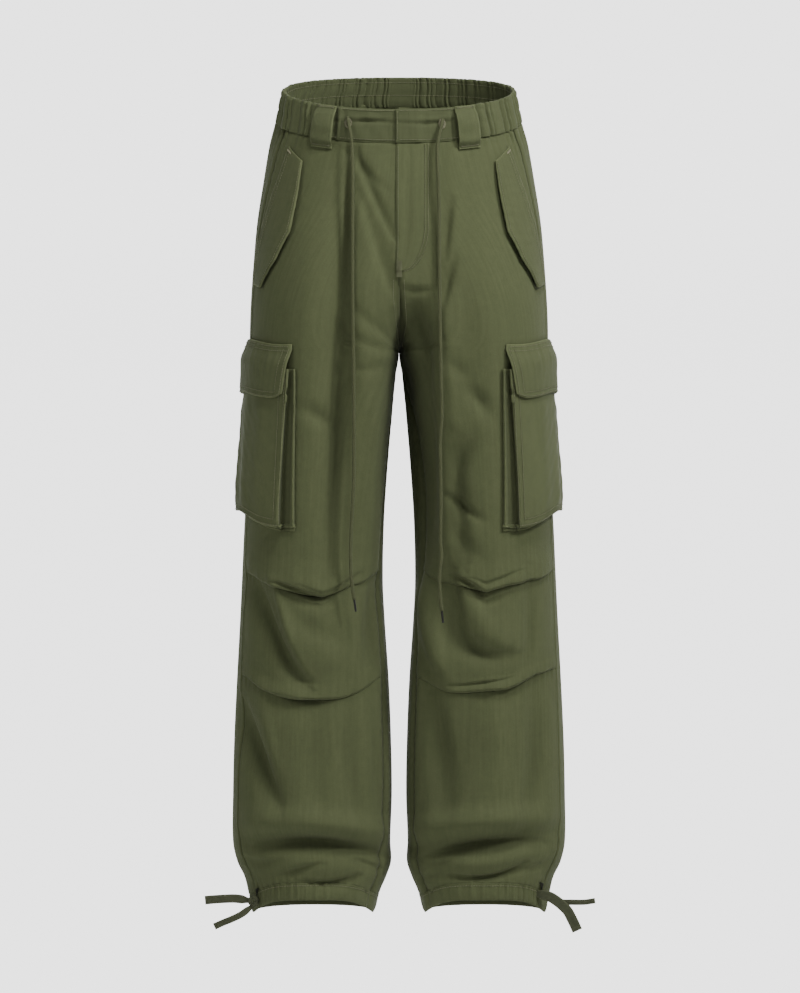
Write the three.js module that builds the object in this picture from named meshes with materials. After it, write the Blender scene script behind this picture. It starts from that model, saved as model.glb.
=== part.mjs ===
// Cargo pants in worn form: a hollow cloth garment with an elastic waistband, a lapped fly, knee panels,
// slanted pocket flaps at the hips, bellows pockets on the thighs, two drawcords and flat ties at the hems.
// Millimetres, +Z up. The front faces -Y and the wearer's left is +X. The origin is the centre of the
// waist opening, at the waistband's mid height at the sides.
import * as THREE from "three";

// Driving sizes
const WALL = 1.6; // one layer of cloth
const HALF_GAP = 0.15; // half of the gap at every seam
const GAP = 2 * HALF_GAP;
const BAND_TOP = 20; // the waistband's upper edge, at the sides
const BAND_FOOT = -21; // the seam between the waistband and the legs
const TILT_END = -230; // the waist's slope has faded out here
const CROTCH = -315;
const HIP_START = -40; // the rings' middles move apart from here down to the crotch
const FRONT_RISE = -225; // the centre front seam turns in between the legs from here down
const BACK_RISE = -165;
const KNEE_TOP = -600; // the seams of the knee panel, at the side seam
const KNEE_FOOT = -733;
// Both knee seams dip by drop at the middle of the leg's front, from where it faces forward by within
const KNEE_DIP = { drop: 28, starts: -470, fades: -860, within: 0.42 };
const CASING_TOP = -1009; // the turned hem, through which the ties run
const HEM = -1031;
const CASING = { thick: 2.6, out: 0.5, pucker: 0.7 };
const HEM_ARCH = { rise: 22, starts: -860, full: -985, within: 0.1 }; // the hem rises in front
const WAIST_SLOPE = 0.322; // the waist is lower in front than behind, and a little bent
const WAIST_BEND = 0.00045;
// At a knee seam the panel above ends in a roll and the one below is drawn in, over so much height
const KNEE_ROLL = { top: 5.5, topReach: 45, foot: 4.5, footReach: 25 };
const KNEE_DRAW = { depth: 1.5, topReach: 40, footReach: 42 };
const SEAM_FORWARD = 38; // side seams and inseams lie this far in front of a leg's widest line
const INSEAM_REACH = 110; // the inseam has come forward this far below the crotch
const ROUND = 2.15; // exponent of the rounded outline, 2 would be an ellipse
const LEFT = 1; // the wearer's left, +X
const RIGHT = -1;
const FRONT = 1;
const BACK = -1;

// The outline of half the garment at each height s: how far its outer and inner sides lie from the
// centre plane, how deep it is in front and behind, and the exponent of its inner half.
const SECTIONS = [
  { s: 20, outer: 147, inner: 0, front: 93, back: 104, square: 4 },
  { s: -21, outer: 155, inner: 0, front: 99, back: 112, square: 4 },
  { s: -50, outer: 164, inner: 0, front: 105, back: 121, square: 4 },
  { s: -90, outer: 172, inner: 0, front: 111, back: 131, square: 4 },
  { s: -145, outer: 181, inner: 0, front: 117, back: 141, square: 4 },
  { s: -200, outer: 186, inner: 0, front: 120, back: 146, square: 4 },
  { s: -262, outer: 190, inner: 0, front: 121, back: 146, square: 4 },
  { s: -315, outer: 191, inner: 0, front: 119, back: 140, square: 4 },
  { s: -345, outer: 190, inner: 4.5, front: 117, back: 134, square: 3.6 },
  { s: -400, outer: 190, inner: 9.5, front: 114, back: 126, square: 3 },
  { s: -460, outer: 193, inner: 14.5, front: 110, back: 116, square: 2.6 },
  { s: -530, outer: 197.5, inner: 19, front: 105, back: 106, square: 2.4 },
  { s: -607, outer: 201, inner: 20.5, front: 99, back: 94, square: 2.2 },
  { s: -660, outer: 203.5, inner: 18, front: 96, back: 88, square: 2.2 },
  { s: -735, outer: 207.5, inner: 13, front: 89, back: 86, square: 2.2 },
  { s: -812, outer: 211, inner: 10, front: 86, back: 88, square: 2.2 },
  { s: -880, outer: 212.5, inner: 9, front: 85, back: 88, square: 2.2 },
  { s: -940, outer: 212.5, inner: 11, front: 83, back: 86, square: 2.2 },
  { s: -966, outer: 207, inner: 10, front: 80, back: 83, square: 2.2 },
  { s: -985, outer: 198, inner: 16, front: 77, back: 79, square: 2.2 },
  { s: -1009, outer: 191, inner: 26, front: 74, back: 76, square: 2.2 },
  { s: -1031, outer: 187, inner: 32, front: 72, back: 74, square: 2.2 },
];

// Rows of points down each piece, by height at the side seam, and how many columns go round it.
const THIGH_ROWS = [
  BAND_FOOT, -48, -85, -130, -180, FRONT_RISE, -258, -282, -299, -309, CROTCH, -345, -395, -450, -510,
  -555, -583, KNEE_TOP,
];
const KNEE_ROWS = [KNEE_TOP, -613, -640, -675, -708, -722, KNEE_FOOT];
const SHIN_ROWS = [KNEE_FOOT, -746, -775, -815, -855, -890, -920, -945, -965, -985, CASING_TOP];
const LEG_ROWS = [...THIGH_ROWS, ...KNEE_ROWS.slice(1), ...SHIN_ROWS.slice(1)];
const FRONT_COLUMNS = 13;
const BACK_COLUMNS = 18;
// The angles round the leg at which a panel's columns would end if they all ran straight down, and how
// strongly only the last ones bend to the panel's edge.
const FRONT_STRAIGHT = THREE.MathUtils.degToRad(108);
const BACK_STRAIGHT = THREE.MathUtils.degToRad(-120);
const COLUMN_BEND = 5;

// The largest folds, one soft trough (depth below 0) or ridge each, along a curve from (x0, z0) past
// (xm, zm) to (x1, z1) as seen from the front, with x away from the centre plane.
const FOLDS = [
  { leg: RIGHT, face: FRONT, x0: 179, z0: -606, xm: 160, zm: -665, x1: 125, z1: -725, depth: -6, width: 15 },
  { leg: RIGHT, face: FRONT, x0: 157, z0: -625, xm: 142, zm: -668, x1: 106, z1: -715, depth: 4, width: 14 },
  { leg: LEFT, face: FRONT, x0: 52, z0: -630, xm: 58, zm: -706, x1: 134, z1: -708, depth: -6, width: 14 },
  { leg: LEFT, face: FRONT, x0: 32, z0: -640, xm: 42, zm: -700, x1: 62, z1: -732, depth: 4, width: 12 },
  { leg: RIGHT, face: FRONT, x0: 195, z0: -783, xm: 172, zm: -840, x1: 137, z1: -906, depth: -5, width: 18 },
  { leg: LEFT, face: FRONT, x0: 90, z0: -770, xm: 70, zm: -830, x1: 74, z1: -900, depth: -4, width: 18 },
  { leg: RIGHT, face: FRONT, x0: 68, z0: -70, xm: 84, zm: -311, x1: 68, z1: -580, depth: -5, width: 13 },
  { leg: RIGHT, face: FRONT, x0: 44, z0: -120, xm: 52, zm: -330, x1: 44, z1: -560, depth: 3, width: 16 },
  { leg: LEFT, face: FRONT, x0: 34, z0: -262, xm: 32, zm: -430, x1: 42, z1: -580, depth: -5, width: 14 },
  { leg: LEFT, face: FRONT, x0: 60, z0: -180, xm: 56, zm: -380, x1: 62, z1: -560, depth: 3, width: 14 },
  { leg: LEFT, face: FRONT, x0: 66, z0: -492, xm: 84, zm: -512, x1: 104, z1: -530, depth: -4, width: 12 },
  { leg: RIGHT, face: FRONT, x0: 192, z0: -937, xm: 102, zm: -924, x1: 12, z1: -955, depth: -10, width: 13 },
  { leg: LEFT, face: FRONT, x0: 22, z0: -948, xm: 108, zm: -936, x1: 194, z1: -926, depth: -10, width: 13 },
  { leg: RIGHT, face: FRONT, x0: 185, z0: -905, xm: 102, zm: -896, x1: 22, z1: -925, depth: 4, width: 15 },
  { leg: LEFT, face: FRONT, x0: 30, z0: -920, xm: 110, zm: -905, x1: 188, z1: -896, depth: 4, width: 15 },
  { leg: RIGHT, face: FRONT, x0: 164, z0: -967, xm: 130, zm: -964, x1: 99, z1: -957, depth: 3, width: 10 },
  { leg: LEFT, face: FRONT, x0: 64, z0: -962, xm: 112, zm: -964, x1: 160, z1: -952, depth: 3, width: 10 },
  { leg: RIGHT, face: BACK, x0: 24, z0: -335, xm: 84, zm: -386, x1: 150, z1: -372, depth: -7, width: 15 },
  { leg: LEFT, face: BACK, x0: 24, z0: -338, xm: 92, zm: -392, x1: 158, z1: -366, depth: -7, width: 15 },
  { leg: RIGHT, face: BACK, x0: 60, z0: -120, xm: 74, zm: -220, x1: 40, z1: -300, depth: -4, width: 18 },
  { leg: LEFT, face: BACK, x0: 70, z0: -130, xm: 80, zm: -225, x1: 46, z1: -300, depth: -4, width: 18 },
  { leg: RIGHT, face: BACK, x0: 34, z0: -618, xm: 108, zm: -640, x1: 182, z1: -622, depth: -6, width: 13 },
  { leg: LEFT, face: BACK, x0: 36, z0: -628, xm: 110, zm: -650, x1: 176, z1: -618, depth: -6, width: 13 },
  { leg: RIGHT, face: BACK, x0: 46, z0: -682, xm: 112, zm: -700, x1: 176, z1: -676, depth: -5, width: 13 },
  { leg: LEFT, face: BACK, x0: 44, z0: -676, xm: 104, zm: -700, x1: 180, z1: -690, depth: -5, width: 13 },
  { leg: RIGHT, face: BACK, x0: 120, z0: -430, xm: 96, zm: -520, x1: 112, z1: -590, depth: -4, width: 17 },
  { leg: LEFT, face: BACK, x0: 92, z0: -440, xm: 118, zm: -520, x1: 100, z1: -590, depth: -4, width: 17 },
  { leg: RIGHT, face: BACK, x0: 80, z0: -760, xm: 98, zm: -830, x1: 84, z1: -900, depth: -4, width: 18 },
  { leg: LEFT, face: BACK, x0: 130, z0: -750, xm: 108, zm: -830, x1: 122, z1: -895, depth: -4, width: 18 },
  { leg: RIGHT, face: BACK, x0: 196, z0: -945, xm: 110, zm: -955, x1: 18, z1: -940, depth: -9, width: 13 },
  { leg: LEFT, face: BACK, x0: 18, z0: -952, xm: 104, zm: -948, x1: 196, z1: -942, depth: -9, width: 13 },
];
const FOLD_STEPS = 12; // points at which the distance to a fold's curve is tried

// Waistband, in degrees round the waist from the centre front, positive towards the wearer's left
const BAND_SPLIT = { right: -54, left: 50 }; // the flat front of the band ends under the front loops
const BAND_OUT = 0.6; // the band's outer face stands this far outside the legs' cloth
const BAND_THICK = 2.5;
// x of the lapped end and of the end below it, and where the lap begins and ends to lie flat again
const BAND_LAP = { from: -4, to: 20, lifts: 22, settles: 34 };
const BAND_CHANNEL = { s: 2, depth: 0.5 }; // the soft crease between the cords' buttonholes
const BAND_COLUMNS = 12;
const GATHERS = 56; // narrow gathers round the elastic back
const GATHER_DEPTH = 2;
const FLAT_PATCH = 8; // half width of the plain stretch at the centre back
// One gather: where its points lie along it, and how far out each is
const GATHER_POINTS = [
  { at: 0, out: -1 },
  { at: 0.34, out: 0.7 },
  { at: 0.7, out: 1 },
];

// Belt loops, by the middle of each in degrees round the waist, and how far its sewn top is off the
// legs' cloth, on the band
const LOOPS = [
  { name: "belt_loop_front_right", at: -49.5, seat: 1.1 },
  { name: "belt_loop_front_left", at: 45.5, seat: 1.1 },
  { name: "belt_loop_side_left", at: 128, seat: 2.8 },
  { name: "belt_loop_back", at: 180, seat: 1.1 },
  { name: "belt_loop_side_right", at: 232, seat: 2.8 },
];
const LOOP_WIDTH = 28;
const LOOP_THICK = 2.2;
// Down a loop: height at the side, and how far its inner face stands off its seat or, lower down, off
// the legs' cloth
const LOOP_ROWS = [
  { s: 18.5, off: 0 },
  { s: 14.5, off: 0.3 },
  { s: 8, off: 7.6 },
  { s: -2, off: 8.6 },
  { s: -14, off: 8.2 },
  { s: -23, off: 6.4 },
  { s: -29, off: 0.9 },
  { s: -32, off: 0.6 },
];
const LOOP_COLUMNS = 4;
const LOOP_STEP = 0.3;

// Fly: a lapped strip whose right edge is the opening and whose left edge curves in to the bottom
const FLY = {
  from: -4, top: -21.2, bend: -150, foot: -219, wide: 38, narrow: 7, thick: 1.2, rows: 9, columns: 4,
};

// Hip pocket flaps, as seen from the front: a row for each pair of points, one on the edge that is sewn
// down and one on the free edge, which stands off the cloth.
const HIP_FLAP = [
  { sewnX: 138, sewnZ: -57, freeX: 119.5, freeZ: -77.5, stand: 2.4 },
  { sewnX: 149, sewnZ: -88, freeX: 120.5, freeZ: -93, stand: 5 },
  { sewnX: 158, sewnZ: -112, freeX: 123.5, freeZ: -118, stand: 6 },
  { sewnX: 167, sewnZ: -140, freeX: 128.5, freeZ: -145, stand: 6.4 },
  { sewnX: 174, sewnZ: -164, freeX: 133, freeZ: -168, stand: 6.4 },
  { sewnX: 181, sewnZ: -196, freeX: 151, freeZ: -203, stand: 6 },
  { sewnX: 184, sewnZ: -230, freeX: 171, freeZ: -237, stand: 4 },
];
const HIP_FLAP_ACROSS = [0, 0.3, 0.65, 1];
const FLAP_THICK = 2;
const LAY = 0.8; // what is sewn on a panel lies this far off it

// Cargo pockets: v counts the legs' columns of points, from the side seam, minus towards the back.
const POCKET = {
  front: 6.22, back: -8.3, // the face's edges
  flangeFront: 0.42, flangeBack: 0.4, tuck: 0.13, // the gusset's sewn edges, outside the face's, and its fold
  sewnThick: 1.2, foldThick: 1.4, wallColumns: 0.09,
  top: -331, foot: -518, flangeDrop: 9, tuckRise: 3,
  standTop: 8.5, standFoot: 13, // how far the face stands off the leg
  droop: 10, // how much lower everything hangs towards the front
};
const POCKET_ROWS = [-360, -395, -430, -470, -500];
const CARGO_FLAP = {
  front: 6.3, back: -8.6,
  rows: [
    { s: -300, off: LAY },
    { s: -311, off: 4.5 },
    { s: -324, off: 9.4 },
    { s: -345, off: 10.6 },
    { s: -368, off: 11.6 },
  ],
};

// Drawcords hang from buttonholes in the band's front. Centre line points, chosen by hand.
const CORD_RADIUS = 2.3;
const CORD_SIDES = 8;
const CORD_STEP = 14;
const CORD_RIGHT = [
  [-64.5, -90.3, -24], [-63.4, -93.6, -31], [-61.4, -97.4, -42], [-59.2, -102, -57], [-58, -110, -91],
  [-57.8, -117.5, -130], [-57.8, -122.5, -178], [-57.7, -125.5, -242], [-57.2, -125.5, -290],
  [-56.6, -124.5, -335], [-56.3, -122, -380], [-56.1, -118.5, -420], [-56.2, -115.5, -470],
  [-57.6, -113.5, -505], [-59.4, -111.5, -535], [-60.4, -109.5, -567], [-60, -107.5, -595],
  [-58, -106, -615], [-56, -105, -629],
];
const CORD_LEFT = [
  [55, -92.9, -27], [53.2, -96.4, -36], [50.2, -100.6, -48], [48.2, -105.6, -66], [49, -113.5, -100],
  [50, -119.5, -140], [50.1, -123.5, -180], [50.6, -126, -242], [51.4, -126, -300], [52.4, -124.5, -350],
  [53.4, -122.5, -397], [51.4, -120.5, -430], [51.8, -118.5, -464], [52.5, -116, -509],
  [51.9, -113, -553], [53, -111.5, -575], [50.6, -110, -598], [51.3, -108.5, -620], [53.6, -107, -643],
];
const TIP = { radius: 1.9, length: 15 };

// Hem ties: flat tapes, [x, y, z] along the middle of each, wide in the picture's plane
const TAPE_THICK = 1.5;
const TIES = [
  {
    name: "hem_tie_upper_right", width: 11,
    path: [
      [-192.4, -43.3, -1012], [-206, -43, -1010], [-220, -44, -1010], [-234, -43, -1011], [-246, -42, -1012],
    ],
  },
  {
    name: "hem_tie_lower_right", width: 9,
    path: [
      [-188.2, -43.4, -1021], [-199, -47, -1029], [-211, -48, -1035], [-223, -47, -1040], [-234, -46, -1045],
    ],
  },
  {
    name: "hem_tie_front_left", width: 13,
    path: [
      [177.4, -45.2, -1004], [193, -49, -1008], [211, -50, -1022], [219, -49, -1035], [226, -47, -1050],
    ],
  },
  {
    name: "hem_tie_back_left", width: 7,
    path: [
      [180.3, -40, -1008], [203, -40, -1014], [220, -39, -1015], [236, -38, -1015], [249, -38, -1013],
    ],
  },
];
const KNOT = { x: -184.6, y: -42.8, z: -1013, wide: 15, deep: 9, high: 15 };

// The colours and finishes that the cloth and trims show
const CLOTH = { color: 0x5a5f3d, roughness: 0.86 };
const CLOTH_DARK = { color: 0x4e5236, roughness: 0.88 };
const TAPE = { color: 0x3c3f30, roughness: 0.8 };
const CORD = { color: 0x565b3c, roughness: 0.85 };
const AGLET = { color: 0x2b2d22, roughness: 0.45 };

const group = new THREE.Group();

// Small helpers
const mix = (a, b, t) => a + (b - a) * t;
const between = (low, high, x) => Math.min(Math.max((x - low) / (high - low), 0), 1);
const ease = (low, high, x) => {
  const t = between(low, high, x);
  return t * t * (3 - 2 * t);
};
const radians = THREE.MathUtils.degToRad;

// Section values at height s, on a smooth curve through the table's rows.
function sectionAt(s) {
  let i = 0;
  while (i < SECTIONS.length - 2 && s < SECTIONS[i + 1].s) i++;
  const [a, b] = [SECTIONS[i], SECTIONS[i + 1]];
  const [before, after] = [SECTIONS[Math.max(i - 1, 0)], SECTIONS[Math.min(i + 2, SECTIONS.length - 1)]];
  const span = b.s - a.s;
  const t = (s - a.s) / span;
  const result = {};
  for (const key of ["outer", "inner", "front", "back", "square"]) {
    const slopeA = ((b[key] - before[key]) / (b.s - before.s)) * span;
    const slopeB = ((after[key] - a[key]) / (after.s - a.s)) * span;
    result[key] =
      (2 * t ** 3 - 3 * t ** 2 + 1) * a[key] + (t ** 3 - 2 * t ** 2 + t) * slopeA +
      (3 * t ** 2 - 2 * t ** 3) * b[key] + (t ** 3 - t ** 2) * slopeB;
  }
  return result;
}

// How the ring at height s is made up, for its front or its back: at the waist one half ring round the
// centre plane, whose middle moves out over the hips until it is the leg's own middle at the crotch. Over
// the rise, the inner half is cut off by the centre plane, along a round curve down to the crotch.
function ringShape(face, s) {
  const q = sectionAt(s);
  const depth = face === FRONT ? q.front : q.back;
  const centre = (ease(HIP_START, CROTCH, s) * (q.outer + q.inner)) / 2;
  const risen = 1 - between(face === FRONT ? FRONT_RISE : BACK_RISE, CROTCH, s) ** 2;
  const merge = (1 - risen ** (q.square / 2)) ** (1 / q.square);
  const inn = s > CROTCH ? Math.max(centre, 1) / Math.max(merge, 0.01) : centre - q.inner;
  return { centre, out: q.outer - centre, inn, depth, square: q.square };
}

// Heights bend with the waist's slope, the dip of the knee seams and the arch of the hem.
function heightAt(s, y, forward) {
  const tilt = ease(TILT_END, BAND_FOOT, s) * (WAIST_SLOPE * y - WAIST_BEND * y * y);
  const near = ease(KNEE_DIP.starts, KNEE_TOP, s) * ease(KNEE_DIP.fades, KNEE_FOOT, s);
  const dip = KNEE_DIP.drop * near * ease(KNEE_DIP.within, 1, forward);
  const arch = HEM_ARCH.rise * ease(HEM_ARCH.starts, HEM_ARCH.full, s) * ease(HEM_ARCH.within, 1, forward);
  return s + tilt - dip + arch;
}

// A point of the smooth outline: angle goes round the leg from its outer side, positive over the front.
function outlinePoint(side, angle, s) {
  const [c, d] = [Math.cos(angle), Math.sin(angle)];
  const shape = ringShape(d >= 0 ? FRONT : BACK, s);
  const [reach, power] = c >= 0 ? [shape.out, ROUND] : [shape.inn, shape.square];
  const r = ((Math.abs(c) / reach) ** power + (Math.abs(d) / shape.depth) ** power) ** (-1 / power);
  const y = -r * d;
  return new THREE.Vector3(side * (shape.centre + r * c), y, heightAt(s, y, d));
}

// The level direction out of the cloth.
function outward(side, angle, s) {
  const step = 1e-3;
  const [a, b] = [outlinePoint(side, angle - step, s), outlinePoint(side, angle + step, s)];
  return new THREE.Vector3(-(b.y - a.y), b.x - a.x, 0).multiplyScalar(side).normalize();
}

// How far the folds move the cloth out at a point seen from the front.
function foldHeight(side, face, x, z) {
  let height = 0;
  for (const fold of FOLDS) {
    if (fold.leg !== side || fold.face !== face) continue;
    let [nearest, at] = [Infinity, 0];
    for (let i = 0; i <= FOLD_STEPS; i++) {
      const t = i / FOLD_STEPS;
      const [p, m, q] = [(1 - t) ** 2, 2 * t * (1 - t), t * t];
      const away = Math.hypot(
        side * x - (p * fold.x0 + m * fold.xm + q * fold.x1),
        z - (p * fold.z0 + m * fold.zm + q * fold.z1),
      );
      if (away < nearest) [nearest, at] = [away, t];
    }
    height += fold.depth * Math.exp(-((nearest / fold.width) ** 2)) * (0.35 + 0.65 * Math.sin(Math.PI * at));
  }
  return height;
}

// The garment's outer face at an angle and a height, and the direction out of it.
function clothPoint(side, angle, s) {
  const at = outlinePoint(side, angle, s);
  const out = outward(side, angle, s);
  const forward = Math.sin(angle);
  const face = forward >= 0 ? FRONT : BACK;
  const height = foldHeight(side, face, at.x, at.z) * ease(0.05, 0.4, Math.abs(forward));
  return { at: at.addScaledVector(out, height), out };
}

// Angle of the point on the outline that lies so far in front of the leg's widest line.
function seamAngle(s, forward, inner) {
  const shape = ringShape(FRONT, s);
  const [reach, power] = inner ? [shape.inn, shape.square] : [shape.out, ROUND];
  const across = reach * (1 - (forward / shape.depth) ** power) ** (1 / power);
  return inner ? Math.PI - Math.atan2(forward, across) : Math.atan2(forward, across);
}

// Angle at which the ring meets the centre plane, along the curve of the rise.
function riseAngle(face, s) {
  const { centre, inn, depth, square } = ringShape(face, s);
  return Math.atan2(depth * (1 - (centre / inn) ** square) ** (1 / square), -centre);
}

// The angles where the front and back panels start, at the side seam, and end.
const sideAngle = (s) => seamAngle(s, SEAM_FORWARD, false);
function frontEnd(s) {
  if (s > CROTCH) return riseAngle(FRONT, s);
  return seamAngle(s, SEAM_FORWARD * ease(CROTCH, CROTCH - INSEAM_REACH, s), true);
}
const backEnd = (s) => (s > CROTCH ? -riseAngle(BACK, s) : frontEnd(s) - 2 * Math.PI);

// Column v of the cloth: 0 is the side seam, 1 to 13 the front and -1 to -18 the back. Columns run
// straight down near the side seam, and only those near the far edge follow that edge's curves.
function columnAngle(v, s) {
  const [u, straight, end] = v >= 0
    ? [v / FRONT_COLUMNS, FRONT_STRAIGHT, frontEnd(s)]
    : [-v / BACK_COLUMNS, BACK_STRAIGHT, backEnd(s)];
  return mix(sideAngle(s), straight, u) + (end - straight) * u ** COLUMN_BEND;
}

// The point at a column and height, kept clear of the centre plane.
function clothAt(side, v, s, turn = 0) {
  const point = clothPoint(side, columnAngle(v, s) + turn, s);
  const atEdge = v >= FRONT_COLUMNS || v <= -BACK_COLUMNS;
  point.at.x = side * (atEdge && s >= CROTCH ? HALF_GAP : Math.max(side * point.at.x, HALF_GAP));
  return point;
}

// What lies on the cloth follows its flat facets: the facets' corners, and a place on one of them.
const corners = new Map();
function corner(side, column, row) {
  const key = side + "," + column + "," + row;
  if (!corners.has(key)) corners.set(key, clothAt(side, column, LEG_ROWS[row]));
  return corners.get(key);
}
function facetPoint(side, v, s, lift) {
  const column = Math.min(Math.max(Math.floor(v), -BACK_COLUMNS), FRONT_COLUMNS - 1);
  let row = 0;
  while (row < LEG_ROWS.length - 2 && s < LEG_ROWS[row + 1]) row++;
  const across = v - column;
  const down = (s - LEG_ROWS[row]) / (LEG_ROWS[row + 1] - LEG_ROWS[row]);
  const [a, b] = [corner(side, column, row), corner(side, column + 1, row)];
  const [c, d] = [corner(side, column + 1, row + 1), corner(side, column, row + 1)];
  // each facet is split from a to c
  const weights = across >= down
    ? [1 - across, across - down, down, 0]
    : [1 - down, 0, across, down - across];
  const [at, out] = [new THREE.Vector3(), new THREE.Vector3()];
  [a, b, c, d].forEach((p, i) => {
    at.addScaledVector(p.at, weights[i]);
    out.addScaledVector(p.out, weights[i]);
  });
  return at.addScaledVector(out, lift);
}

// Column and height of the place that is seen at (x, z) from the front, x away from the centre plane.
function placeSeenAt(x, z) {
  let [low, high, s] = [0, FRONT_COLUMNS, z];
  for (let i = 0; i < 40; i++) {
    const v = (low + high) / 2;
    const p = facetPoint(LEFT, v, s, 0);
    s += z - p.z;
    if (p.x > x) low = v;
    else high = v;
  }
  return { v: (low + high) / 2, s };
}

// A wall between two grids of points, rows first. A ring's last column joins its first.
function wall(outer, inner, ring = false) {
  const [rows, columns] = [outer.length, outer[0].length];
  const points = [...outer.flat(), ...inner.flat()];
  const under = rows * columns;
  const index = [];
  const quad = (a, b, c, d) => index.push(a, b, c, a, c, d);
  const id = (row, column) => row * columns + (column % columns);
  const across = ring ? columns : columns - 1;
  for (let row = 0; row < rows - 1; row++) {
    for (let column = 0; column < across; column++) {
      const [a, b] = [id(row, column), id(row, column + 1)];
      const [c, d] = [id(row + 1, column + 1), id(row + 1, column)];
      quad(a, b, c, d);
      index.push(under + a, under + c, under + b, under + a, under + d, under + c);
    }
  }
  for (let column = 0; column < across; column++) {
    const [a, b] = [id(0, column), id(0, column + 1)];
    const [c, d] = [id(rows - 1, column), id(rows - 1, column + 1)];
    quad(under + a, under + b, b, a);
    quad(c, d, under + d, under + c);
  }
  if (!ring) {
    for (let row = 0; row < rows - 1; row++) {
      const [a, b] = [id(row, 0), id(row + 1, 0)];
      const [c, d] = [id(row, columns - 1), id(row + 1, columns - 1)];
      quad(a, b, under + b, under + a);
      quad(under + c, under + d, d, c);
    }
  }
  return solid(points, index);
}

// Geometry of a closed surface, turned so that its faces point out.
function solid(points, index) {
  let volume = 0;
  for (let i = 0; i < index.length; i += 3) {
    const [a, b, c] = [points[index[i]], points[index[i + 1]], points[index[i + 2]]];
    volume += a.dot(new THREE.Vector3().crossVectors(b, c));
  }
  if (volume < 0) index.reverse();
  const geometry = new THREE.BufferGeometry().setFromPoints(points).setIndex(index);
  geometry.computeVertexNormals();
  return geometry;
}

function add(name, geometry, finish) {
  const material = new THREE.MeshStandardMaterial({ ...finish, metalness: 0, side: THREE.DoubleSide });
  const mesh = new THREE.Mesh(geometry, material);
  mesh.name = name;
  group.add(mesh);
}

// Panels of a leg. A panel's edge rows and columns stop half a gap short of the seam.
const bulge = (v) => Math.sin(Math.PI * between(0, FRONT_COLUMNS, v)) ** 0.7;
function panel(side, rows, columns, edge) {
  const [outer, inner] = [[], []];
  rows.forEach((row, j) => {
    let s = row;
    if (j === 0) s -= HALF_GAP;
    if (j === rows.length - 1) s += HALF_GAP;
    const line = columns.map((v) => {
      const perRadian = outlinePoint(side, columnAngle(v, row) + 0.01, s).distanceTo(
        outlinePoint(side, columnAngle(v, row), s),
      ) / 0.01;
      const shift = HALF_GAP / perRadian;
      let turn = 0;
      if (v === 0) turn = columns.at(-1) > 0 ? shift : -shift;
      if (s <= CROTCH && v === FRONT_COLUMNS) turn = -shift;
      if (s <= CROTCH && v === -BACK_COLUMNS) turn = shift;
      return { v, ...clothAt(side, v, s, turn) };
    });
    outer.push(line.map((p) => p.at.clone().addScaledVector(p.out, edge(p.v, row).outer)));
    inner.push(line.map((p) => p.at.clone().addScaledVector(p.out, edge(p.v, row).inner - WALL)));
  });
  return wall(outer, inner);
}

// The panel above a knee seam overhangs it with a rolled, thicker edge and the one below is drawn in.
const flat = () => ({ outer: 0, inner: 0 });
const rolledEdge = (seam, roll, reach) => (v, s) => ({
  outer: roll * bulge(v) * ease(seam + reach, seam, s),
  inner: 0,
});
const drawnEdge = (seam, reach) => (v, s) => {
  const draw = -KNEE_DRAW.depth * bulge(v) * ease(seam - reach, seam, s);
  return { outer: draw, inner: draw };
};
const sum = (...edges) => (v, s) => ({
  outer: edges.reduce((total, edge) => total + edge(v, s).outer, 0),
  inner: edges.reduce((total, edge) => total + edge(v, s).inner, 0),
});

function legPanels(side, name) {
  const front = Array.from({ length: FRONT_COLUMNS + 1 }, (_, i) => i);
  const back = Array.from({ length: BACK_COLUMNS + 1 }, (_, i) => i - BACK_COLUMNS);
  const thighEdge = rolledEdge(KNEE_TOP, KNEE_ROLL.top, KNEE_ROLL.topReach);
  add("front_thigh_" + name, panel(side, THIGH_ROWS, front, thighEdge), CLOTH);
  const knee = sum(
    drawnEdge(KNEE_TOP, KNEE_DRAW.topReach),
    rolledEdge(KNEE_FOOT, KNEE_ROLL.foot, KNEE_ROLL.footReach),
  );
  add("front_knee_" + name, panel(side, KNEE_ROWS, front, knee), CLOTH);
  add("front_shin_" + name, panel(side, SHIN_ROWS, front, drawnEdge(KNEE_FOOT, KNEE_DRAW.footReach)), CLOTH);
  add("back_leg_" + name, panel(side, LEG_ROWS, back, flat), CLOTH_DARK);
  add("hem_casing_" + name, hemCasing(side), CLOTH);
}

// The turned hem, a doubled ring with small puckers where the tie draws it in.
function hemCasing(side) {
  const [outer, inner] = [[], []];
  for (const s of [CASING_TOP - HALF_GAP, (CASING_TOP + HEM) / 2, HEM]) {
    const line = [];
    for (let v = 1 - BACK_COLUMNS; v <= FRONT_COLUMNS; v++) {
      const pucker = s === HEM ? 0 : CASING.pucker * (Math.abs(v) % 2);
      const { at, out } = clothPoint(side, columnAngle(v, s), s);
      line.push({ at, out, lift: CASING.out + pucker });
    }
    outer.push(line.map((p) => p.at.clone().addScaledVector(p.out, p.lift)));
    inner.push(line.map((p) => p.at.clone().addScaledVector(p.out, p.lift - CASING.thick)));
  }
  return wall(outer, inner, true);
}

// Points round the waist, by degrees from the centre front.
function waistPoint(degrees, s, lift) {
  const turn = ((degrees + 180) % 360) - 180;
  const side = turn >= 0 ? LEFT : RIGHT;
  const { at, out } = clothPoint(side, Math.PI / 2 - radians(Math.abs(turn)), s);
  return at.addScaledVector(out, lift);
}

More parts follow.
